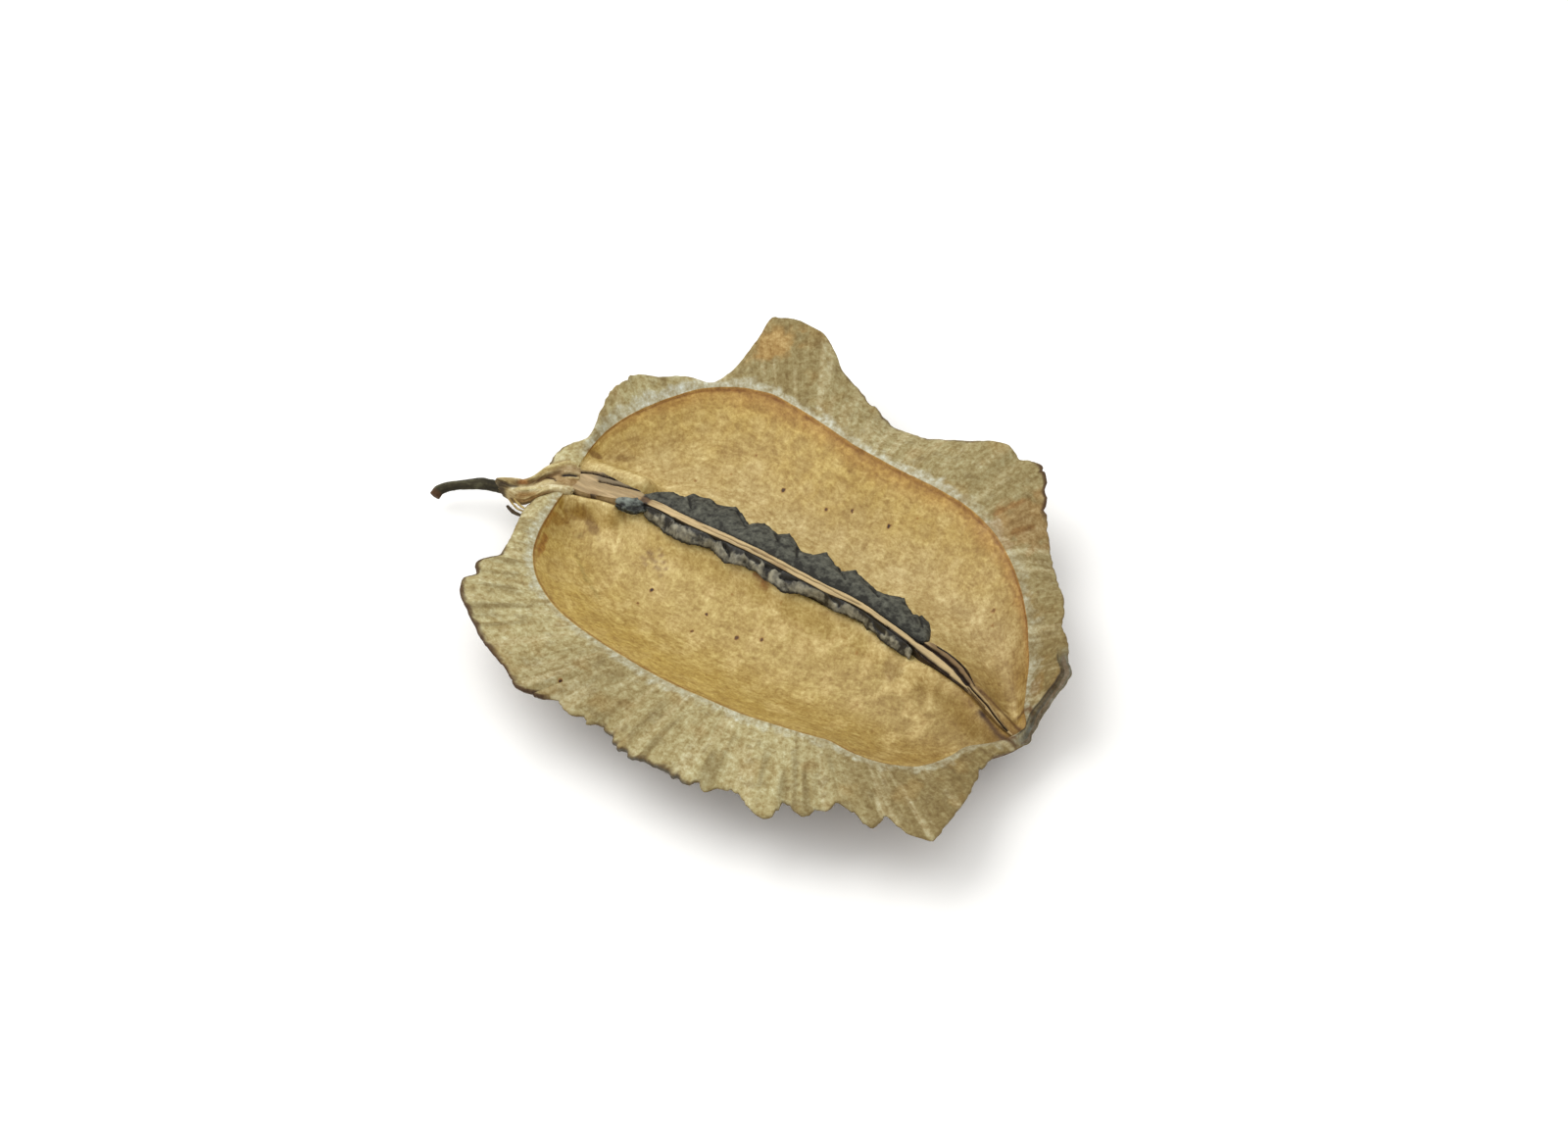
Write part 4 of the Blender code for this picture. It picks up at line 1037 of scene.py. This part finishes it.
# %% Edges of the flaps
FAR_EDGE = np.array((
    (-20.6, 1.7), (-19.6, 3.0), (-18.4, 3.6), (-16.8, 3.5), (-16.4, 4.3), (-14.6, 4.6), (-13.0, 4.4),
    (-11.4, 4.9), (-10.3, 4.5), (-8.8, 3.6), (-8.1, 4.2), (-7.5, 4.6), (-6.3, 4.2), (-5.4, 4.0), (-4.5, 4.7),
    (-3.6, 4.2), (-2.2, 3.5), (-0.9, 3.6), (0.2, 4.7), (1.2, 4.1), (2.8, 3.5), (4.0, 4.4), (5.5, 4.0),
    (7.2, 3.5), (8.4, 3.8), (9.9, 4.4), (11.1, 3.7), (11.8, 3.4), (12.5, 3.8), (13.5, 3.5), (14.3, 2.8),
    (15.0, 1.6),
))
NEAR_EDGE = np.array((
    (-19.4, -0.3), (-18.2, -0.7), (-16.0, -1.3), (-14.9, -1.5), (-12.8, -1.5), (-11.2, -1.2), (-10.4, -1.0),
    (-9.3, -1.4), (-8.0, -1.8), (-7.0, -1.6), (-6.0, -1.2), (-4.9, -1.2), (-3.9, -1.4), (-2.9, -1.6),
    (-1.4, -1.9), (-0.3, -1.7), (0.7, -1.3), (2.2, -0.8), (3.7, -0.7), (5.3, -1.0), (6.3, -0.7), (7.7, -0.5),
    (9.2, -0.7), (10.8, -1.0), (11.9, -1.2), (13.3, -1.3), (14.6, -1.4),
))
FLAP_STATIONS, FLAP_STEPS = 560, 26


def flap_plan(edge, side):
    """Points of a flap in plan, in millimetres, the share of the way out, and which face a point is on."""
    x = np.linspace(edge[0, 0], edge[-1, 0], FLAP_STATIONS)[:, None]
    out = np.linspace(0, 1, FLAP_STEPS)[None, :]
    out, face = np.concatenate([out, out[:, ::-1]], 1), np.repeat([[1.0, -1.0]], FLAP_STEPS, axis=1)
    gap = 0.0 if side > 0 else 0.04
    root = (ridge_line(x * MM) + side * septum_half_width(x * MM)) / MM + side * gap
    ragged = 0.12 * rough_noise(x * 1.6, 2.0 + side, 0.5, octaves=3)
    edge_y = np.interp(x[:, 0], edge[:, 0], edge[:, 1])[:, None]
    reach = np.maximum(side * (edge_y - root) + ragged, 0.3)
    return x + 0 * out, root + side * reach * out, out + 0 * x, face


def flap_grid(x, y, out, face, height):
    """The sheet at a height in millimetres, with a thickness that shrinks to the edge and to both ends."""
    ends = np.minimum(1, np.minimum(x - x[0, 0], x[-1, 0] - x) / 0.8) ** 0.5
    thickness = 0.26 * (1 - 0.6 * out ** 3) * ends
    return np.stack([x, y, height + 0.5 * thickness * face], -1) * MM


def creases(x, y, lines):
    """1 on any of the lines, and 0 about 0.25 mm away."""
    return np.maximum.reduce([np.exp(-(line_distance(x, y, line)[0] / 0.14) ** 2) for line in lines])


def flap_height(x, out, start, fall, bulge):
    """Height in millimetres: start below the septum's top, less fall times out^1.3, plus bulge times
    sin(pi out), where out is the share of the way from the root to the edge."""
    return septum_top(x * MM) / MM - start - fall * out ** 1.3 + bulge * np.sin(math.pi * out)


# %% [markdown]
# Each flap then has its own folds, as noise, and creases, as lines. Its painted light and shade, which the
# material reads, is painted shadow under the ridge and in the creases, darker along the edge, and a painted
# highlight where it bulges and on high folds. The near one also has painted highlights, given by a place and
# a reach.

# %% Far flap
fx, fy, far_out, face = flap_plan(FAR_EDGE, 1)
far_folds = rough_noise(fx / 1.3, fy / 4.5, 6.0, octaves=3) * smooth_step(0, 0.4, far_out)
far_folds = far_folds + 0.4 * rough_noise(fx / 0.5, fy / 0.5, 2.0, octaves=2)
far_creases = creases(fx, fy, (
    ((-2.6, 3.4), (-1.6, 1.9)), ((-10.7, 4.3), (-9.4, 3.3), (-8.5, 2.7)), ((12.3, 3.7), (13.7, 2.2)),
    ((6.4, 3.3), (8.1, 2.5)), ((-16.3, 3.4), (-14.8, 1.8)), ((2.6, 3.4), (4.2, 2.2)),
    ((-5.6, 3.8), (-4.4, 2.6)),
))
far_height = flap_height(fx, far_out, 0.38, 0.9, 0.3) + 0.10 * far_folds - 0.25 * far_creases
# Painted light and shade: painted shadow under the ridge and in the creases, darker at the edge, a painted
# highlight on the bulge.
far_painted_light = 0.3 * np.sin(math.pi * far_out) - 0.55 * smooth_step(0.12, 0.0, far_out) - 0.9 * far_creases
far_painted_light = far_painted_light - 0.45 * smooth_step(0.45, 0.1, far_out) * smooth_step(-4, 2, fx)
far_painted_light = far_painted_light - 0.4 * smooth_step(0.93, 1.0, far_out) + 0.15 * far_folds
far_grid = flap_grid(fx, fy, far_out, face, far_height)
tell("height of the far flap", far_grid[..., 2] / MM)

# %% Near flap
nx, ny, near_out, face = flap_plan(NEAR_EDGE, -1)
near_folds = rough_noise(nx / 0.8, ny / 0.9, 4.0, octaves=3)
near_creases = creases(nx, ny, (
    ((-15.2, -0.3), (-14.2, -0.3)), ((-11.0, -0.2), (-9.6, -0.5)), ((-8.9, -0.6), (-7.8, -1.2)),
    ((-6.2, -0.5), (-4.4, -0.7)), ((-3.6, -0.6), (-2.0, -0.5)), ((-1.6, -1.0), (0.2, -0.6)),
    ((4.0, -0.3), (5.4, -0.6)), ((9.6, -0.5), (11.0, -0.7)),
))
near_height = flap_height(nx, near_out, 0.5, 1.2, 0.12)
near_height = near_height + 0.28 * near_folds * smooth_step(0, 0.3, near_out) - 0.35 * near_creases
near_grid = flap_grid(nx, ny, near_out, face, near_height)
# Painted light and shade: painted shadow under the ridge and in the creases, darker at the edge, painted
# highlights on high folds.
near_painted_light = 0.3 - 1.3 * smooth_step(0.55, 0.2, near_out + 0.15 * near_folds) - 1.5 * near_creases
near_painted_light = near_painted_light - 0.9 * smooth_step(0.88, 1.0, near_out) + 0.7 * near_folds
# Painted highlights on the near flap, each a place and a reach.
PAINTED_HIGHLIGHTS = (
    (-17.5, -0.4, 0.5), (-14.9, -0.9, 0.5), (-13.7, -0.9, 0.4), (-8.8, -0.9, 0.4), (-7.9, -1.1, 0.5),
    (-5.2, -0.8, 0.4), (-4.2, -0.9, 0.5), (-1.8, -0.8, 0.3), (-1.6, -1.3, 0.6), (3.8, -0.3, 0.4),
    (5.0, -0.6, 0.5), (11.0, -0.7, 0.5), (12.1, -0.8, 0.4),
)
for x, y, reach in PAINTED_HIGHLIGHTS:
    highlight_spot = np.hypot(nx - x, 1.6 * (ny - y)) + 0.2 * near_folds
    near_painted_light = near_painted_light + 1.2 * smooth_step(reach, 0.3 * reach, highlight_spot)
tell("height of the near flap", near_grid[..., 2] / MM)

# %% [markdown]
# ### Dried placenta
#
# Dried plant tissue like this is close to black leather: charcoal with a faint grey bloom on its high
# places. It has an IOR near 1.5. The far flap is matte, and the near one is shinier where it is crumpled,
# so both use the same nodes with their own numbers.

# %% Flap material
def placenta_material(name, dark, light, start, roughness, specular):
    """Charcoal that goes from dark to light with a noise of about 0.7 mm and each point's painted light and
    shade.
    """
    material, tree, shader = new_material(name)
    place = add(tree, "ShaderNodeTexCoord").outputs["Object"]
    shade = add(tree, "ShaderNodeAttribute", attribute_name="shade").outputs["Fac"]
    bloom = add(tree, "ShaderNodeTexNoise", {
        "Vector": place, "Scale": 1400.0, "Detail": 6.0, "Roughness": 0.68,
    })
    lightness = add(tree, "ShaderNodeMath", {0: shade, 1: 0.2, 2: bloom}, operation="MULTIPLY_ADD")
    amount = add(tree, "ShaderNodeMapRange", {"Value": lightness, "From Min": start, "From Max": start + 0.4})
    ends = {"Factor": amount, "A": (*linear(dark), 1), "B": (*linear(light), 1)}
    mixed = add(tree, "ShaderNodeMix", ends, data_type="RGBA")
    bump = add(tree, "ShaderNodeBump", {"Height": bloom, "Strength": 0.8, "Distance": 0.12 * MM})
    give(tree, shader, {"Base Color": mixed, "Normal": bump})
    give(tree, shader, {"Roughness": roughness, "Specular IOR Level": specular})
    return material


far_placenta = placenta_material("dried placenta, matte", "#1e1d16", "#67675a", 0.42, 0.75, 0.3)
near_placenta = placenta_material("dried placenta, crumpled and waxy", "#1d1a13", "#8f8a76", 0.40, 0.5, 0.4)
for name, grid_of_points, material, node, shade in (
    ("placenta_flap_far", far_grid, far_placenta, "placenta_far", far_painted_light),
    ("placenta_flap_near", near_grid, near_placenta, "placenta_near", near_painted_light),
):
    put_mesh(name, grid_of_points, material, node, attributes={"shade": shade})

# %% [markdown]
# A loose crumb of the same tissue is stuck where the band narrows into the ridge. A sphere with a displace
# modifier would give the same lump. Here it is a ball of points pushed in and out by noise, as one formula.

# %% Crumb of placenta
CRUMB_AT, CRUMB_HALF, CRUMB_TURN = np.array((-20.6, -0.5, 6.5)) * MM, np.array((1.75, 0.85, 0.6)) * MM, 0.45
latitude = np.linspace(0, math.pi, 40)[:, None]
longitude = math.tau * np.arange(56)[None, :] / 56
round_ring = np.sin(latitude)
ball = [np.cos(latitude) + 0 * longitude, round_ring * np.cos(longitude), round_ring * np.sin(longitude)]
ball = np.stack(ball, -1)
lumps = rough_noise(*np.moveaxis(ball * 1.4 + 5, -1, 0), octaves=4)
# Painted light: the crumb is lighter on top and darker underneath, varied by its lumps.
crumb_painted_light = 1.1 * ball[..., 2] + 1.1 * lumps - 0.4
sized_x, sized_y, sized_z = np.moveaxis(ball * (1 + 0.34 * lumps)[..., None] * CRUMB_HALF, -1, 0)
cosine, sine = math.cos(CRUMB_TURN), math.sin(CRUMB_TURN)
crumb = [sized_x * cosine - sized_y * sine, sized_x * sine + sized_y * cosine, sized_z]
crumb = np.stack(crumb, -1) + CRUMB_AT
crumb_placenta = placenta_material("dried placenta, crumb with painted light", "#0f100b", "#7b8278", 0.42, 0.6, 0.4)
put_mesh(
    "placenta_crumb", crumb, crumb_placenta, "placenta_near",
    attributes={"shade": crumb_painted_light},
)

# %% [markdown]
# ## Stalk and neck
#
# The fruit stalk is a bent woody twig a little over 1 mm thick, with dark ridged bark and a swollen end where
# it broke off. A curve with a bevel could make it, but a circle carried along a smooth line by the same kind
# of formula as the rest gives its bark real relief.

# %% Carrying a circle along a line
def smooth_path(points, count):
    """Evenly spread points on a curve through the given ones, each coordinate its own cubic of the length."""
    points = np.asarray(points, float)
    walked = np.concatenate([[0], np.cumsum(np.linalg.norm(np.diff(points[:, :3], axis=0), axis=1))])
    place = np.linspace(0, walked[-1], count)
    return np.stack([curve_through(walked, column)(place) for column in points.T], -1)


def tube(path, radius, sides):
    """Circles round a path: the middle plus radius times (cos a of one side vector + sin a of another), both
    at right angles to the path."""
    forward = np.gradient(path, axis=0)
    forward /= np.linalg.norm(forward, axis=1, keepdims=True)
    side = np.cross(forward, (0, 0, 1.0))
    side /= np.linalg.norm(side, axis=1, keepdims=True)
    rise = np.cross(side, forward)
    a = math.tau * np.arange(sides) / sides
    ring = np.cos(a)[None, :, None] * side[:, None] + np.sin(a)[None, :, None] * rise[:, None]
    return path[:, None] + np.broadcast_to(radius, (len(path), sides))[..., None] * ring


def closing(share, part):
    """1 along a piece, and the square root of the way in within part of its length from either end."""
    return np.minimum(1, np.minimum(share, 1 - share) / part) ** 0.5


# %% Stalk
STALK_RINGS, STALK_SIDES = 240, 48
STALK = np.array((
    (-31.4, -2.1, 4.0, 0.75), (-32.0, -2.5, 4.0, 0.72), (-33.1, -3.5, 3.8, 0.66), (-34.1, -4.2, 3.6, 0.64),
    (-35.2, -4.5, 3.5, 0.66), (-36.5, -4.9, 3.4, 0.68), (-37.9, -5.6, 3.1, 0.60), (-39.2, -6.4, 2.8, 0.56),
    (-40.1, -7.1, 2.5, 0.58), (-40.5, -7.8, 2.3, 0.62), (-40.5, -8.4, 2.1, 0.64),
))
stalk_path = smooth_path(STALK, STALK_RINGS)
middle, thick = stalk_path[:, :3] * MM, stalk_path[:, 3:] * MM
way = np.linspace(0, 1, STALK_RINGS)[:, None]
angle = math.tau * np.arange(STALK_SIDES)[None, :] / STALK_SIDES
around_x, around_y = np.cos(angle) + 0 * way, np.sin(angle) + 0 * way
ridges = rough_noise(2.2 * around_x, 2.2 * around_y, way * 9 + 0 * angle, octaves=3)
bark = rough_noise(4 * around_x, 4 * around_y, way * 34 + 0 * angle, octaves=2)
stalk_radius = (thick - 0.06 * MM) * closing(way, 0.012) * (1 + 0.08 * ridges + 0.03 * bark)
stalk_grid = tube(middle, stalk_radius, STALK_SIDES)
stalk_tint = np.broadcast_to(linear("#2f2a19"), stalk_grid.shape)
stalk_tint = paint(stalk_tint, "#4a4632", 0.8 * smooth_step(0.1, 0.8, ridges + 0.3 * bark))
stalk_tint = paint(stalk_tint, "#1d180d", 0.6 * smooth_step(0.2, 0.8, -ridges))
stalk_tint = paint(stalk_tint, "#54401f", 0.8 * smooth_step(0.30, 0.16, way) + 0 * ridges)
stalk_tint = paint(stalk_tint, "#4a2f18", 0.8 * smooth_step(0.93, 0.97, way) + 0 * ridges)
tell("height of the stalk", stalk_grid[..., 2] / MM)

# %% [markdown]
# ### Stalk bark
#
# Thin weathered bark is dull and dry, about 0.85 rough, with flakes of half a millimetre that are both
# lighter and higher than what lies between them.

# %% Bark
stalk_bark, tree, shader = new_material("stalk bark, weathered")
tint_node = add(tree, "ShaderNodeAttribute", attribute_name="tint")
place = add(tree, "ShaderNodeTexCoord").outputs["Object"]
flakes = add(tree, "ShaderNodeTexNoise", {"Vector": place, "Scale": 1800.0, "Detail": 6.0, "Roughness": 0.65})
shade = add(tree, "ShaderNodeMapRange", {
    "Value": flakes, "From Min": 0.3, "From Max": 0.7, "To Min": 0.7, "To Max": 1.3,
})
shaded = add(tree, "ShaderNodeVectorMath", {0: tint_node, "Scale": shade}, operation="SCALE")
bump = add(tree, "ShaderNodeBump", {"Height": flakes, "Strength": 0.8, "Distance": 0.12 * MM})
give(tree, shader, {"Base Color": shaded, "Normal": bump, "Roughness": 0.85, "Specular IOR Level": 0.3})
put_mesh("stalk_twig", stalk_grid, stalk_bark, "stalk", attributes={"tint": stalk_tint})

# %% [markdown]
# At the pod the bark gives way to a torn neck of pale and brown fibres that fans out from the stalk over the
# rim. Hundreds of single strands would be heavy and would tangle, so it is one thin sheet between a lower
# and an upper edge, ridged along its length. Its start is torn, and its other end bulges out in the middle
# and sinks into the rim and the septum, so that no straight edge shows.

# %% Neck
LOWER_EDGE = np.array((
    (-34.8, -5.2, 3.9), (-33.5, -5.3, 4.0), (-32.3, -5.5, 4.2), (-31.2, -5.4, 4.5), (-30.4, -4.6, 4.8),
    (-29.6, -3.4, 5.1), (-28.9, -2.9, 5.25), (-28.1, -2.5, 5.3), (-27.4, -2.1, 5.2),
))
UPPER_EDGE = np.array((
    (-35.6, -4.3, 4.1), (-34.8, -3.8, 4.2), (-33.8, -3.2, 4.3), (-32.9, -2.9, 4.5), (-32.2, -1.9, 4.7),
    (-31.8, -0.6, 5.0), (-31.1, 0.6, 5.25), (-30.3, 1.5, 5.3), (-29.5, 2.2, 5.15),
))
STRANDS_ALONG, STRANDS_ACROSS = 220, 150
lower = smooth_path(LOWER_EDGE, STRANDS_ALONG)[:, None]
upper = smooth_path(UPPER_EDGE, STRANDS_ALONG)[:, None]
way = np.linspace(0, 1, STRANDS_ALONG)[:, None]
over = np.linspace(0, 1, STRANDS_ACROSS)[None, :]
over, sheet_face = np.concatenate([over, over[:, ::-1]], 1), np.repeat([[1.0, 0.0]], STRANDS_ACROSS, axis=1)
neck_points = blend(lower, upper, over[..., None])
middle_share = np.sin(math.pi * over)
torn_start = (0.5 + 0.8 * rough_noise(over * 6, 3.3, 1.0, octaves=3)) * smooth_step(0.2, 0.0, way)
neck_x = neck_points[..., 0] + torn_start + 0.7 * middle_share * smooth_step(0.6, 1.0, way)
neck_y = neck_points[..., 1]
bending = 0.6 * value_noise(way * 5 + 0 * over, over * 3, 1.5)
strand_noise = rough_noise(over * 13 + bending, way * 3.0, 8.8, octaves=3)
arch = blend(0.75, 0.12, smooth_step(0.1, 0.45, way)) * middle_share ** 0.6
sinking = (0.9 - 0.93 * middle_share ** 0.6) * smooth_step(0.84, 1.0, way) ** 1.5
neck_rise = 0.12 + arch + 0.09 * strand_noise - sinking
neck_tint = np.broadcast_to(linear("#8f7c50"), neck_points.shape)
neck_tint = paint(neck_tint, "#6a4e22", 0.85 * smooth_step(0.1, 0.6, -strand_noise))
neck_tint = paint(neck_tint, "#bdae80", 0.7 * smooth_step(0.1, 0.6, strand_noise))
neck_tint = paint(neck_tint, "#332714", 0.85 * smooth_step(0.2, 0.05, way) * smooth_step(0.75, 0.35, over))
print("mean colour of the neck sheet, linear:", neck_tint.mean((0, 1)).round(3))

# %% [markdown]
# What is seen on the neck is drawn as lines in plan again: pale ribs, brown hollows between them, a crack
# and the small hole at the septum's end, both sunk and painted nearly black as painted shade. Each row gives
# the points of a line, its width, how far it lifts or sinks the sheet, its colour and its strength.

# %% Lines on the neck
BROWN_HOLLOW = ((-33.1, -3.7), (-32.1, -3.0), (-31.4, -2.2), (-30.8, -1.4), (-30.1, -0.5))
NECK_LINES = (
    (((-32.6, -3.0), (-31.3, -0.7), (-30.0, 1.1), (-28.2, 2.3)), 0.3, 0.15, "#ae9f6c", 0.9),
    (((-34.9, -4.0), (-34.0, -3.5), (-33.3, -3.2)), 0.35, 0.15, "#c2b68e", 0.95),
    (((-32.8, -4.8), (-31.1, -3.5), (-29.8, -2.6), (-28.3, -2.2), (-27.0, -1.9)), 0.45, 0.2, "#bdb18a", 0.95),
    (((-29.6, -1.4), (-28.2, -0.9), (-26.8, -0.4)), 0.7, 0.05, "#967c54", 0.85),
    (((-29.9, -0.3), (-29.0, 0.7), (-28.0, 1.0)), 0.6, 0.05, "#9a8560", 0.85),
    (BROWN_HOLLOW, 0.34, -0.22, "#523a16", 0.95),
    (((-34.4, -4.7), (-33.6, -4.6), (-32.9, -4.3)), 0.28, -0.1, "#2a1c0b", 0.9),
    (((-30.8, -1.6), (-30.0, -1.6), (-29.6, -1.7)), 0.12, -0.15, "#33210c", 0.9),
    (((-32.9, -3.3), (-32.6, -3.1)), 0.35, 0.05, "#8f6330", 0.8),
    (((-31.9, -4.9), (-31.2, -4.6), (-30.6, -4.2)), 0.4, 0.05, "#80602f", 0.85),
    (((-29.35, -0.65), (-28.9, -0.25), (-28.3, 0.0)), 0.24, -0.12, "#0d0703", 1.0),
)
for points, width, lift, code, amount in NECK_LINES:
    line = np.exp(-((line_distance(neck_x, neck_y, points)[0] + 0.05 * strand_noise) / width) ** 2)
    neck_rise = neck_rise + lift * line
    neck_tint = paint(neck_tint, code, amount * line)
neck_closing = closing(way, 0.03) * closing(over, 0.02)
neck_z = neck_points[..., 2] + np.where(sheet_face > 0.5, neck_rise, -0.5) * neck_closing
neck_grid = np.stack([neck_x, neck_y, neck_z], -1) * MM
neck_rim = np.ones_like(neck_x)
neck_fibres = np.stack(np.broadcast_arrays(over * 7, way * 1.2, 3.3 * sheet_face), -1)
put_mesh(
    "neck_sheet", neck_grid, pod_wood, "valve",
    attributes={"tint": neck_tint, "rim": neck_rim, "fibres": neck_fibres},
)

# %% [markdown]
# Four loose fibres have sprung from the torn neck. Each is a thin tube through four points, given with their
# radius in millimetres.

# %% Loose strands
STRAND_RINGS, STRAND_SIDES = 60, 14
STRANDS = (
    ("#3a2c16", (
        (-32.4, -6.5, 4.2, 0.15), (-31.4, -6.8, 4.2, 0.19),
        (-30.5, -6.9, 4.4, 0.17), (-29.5, -6.8, 4.5, 0.12),
    )),
    ("#8f7a48", (
        (-32.8, -5.6, 4.2, 0.09), (-31.8, -6.1, 4.3, 0.12),
        (-30.9, -6.4, 4.5, 0.11), (-29.8, -6.4, 4.7, 0.08),
    )),
    ("#a08c58", (
        (-32.6, -5.2, 4.3, 0.10), (-31.6, -5.7, 4.4, 0.13),
        (-30.7, -6.0, 4.6, 0.12), (-29.9, -6.1, 4.8, 0.08),
    )),
    ("#bdb184", (
        (-33.6, -5.0, 4.3, 0.12), (-32.2, -4.4, 4.9, 0.20),
        (-30.6, -3.4, 5.2, 0.18), (-28.6, -2.5, 5.3, 0.10),
    )),
)
way = np.linspace(0, 1, STRAND_RINGS)[:, None]
side_number = np.arange(STRAND_SIDES)[None, :]
for number, (code, points) in enumerate(STRANDS, 1):
    path = smooth_path(points, STRAND_RINGS)
    radius = path[:, 3:] * closing(way, 0.05) * MM * (1 + 0.2 * value_noise(way * 9, number, 0.5))
    strand = tube(path[:, :3] * MM, radius, STRAND_SIDES)
    strand_fibres = np.stack(np.broadcast_arrays(side_number / 3, way, float(number)), -1)
    put_mesh(
        f"neck_strand_{number}", strand, pod_wood, "valve",
        attributes={
            "tint": np.broadcast_to(linear(code), strand.shape), "rim": np.ones(strand.shape[:2]),
            "fibres": strand_fibres,
        },
    )
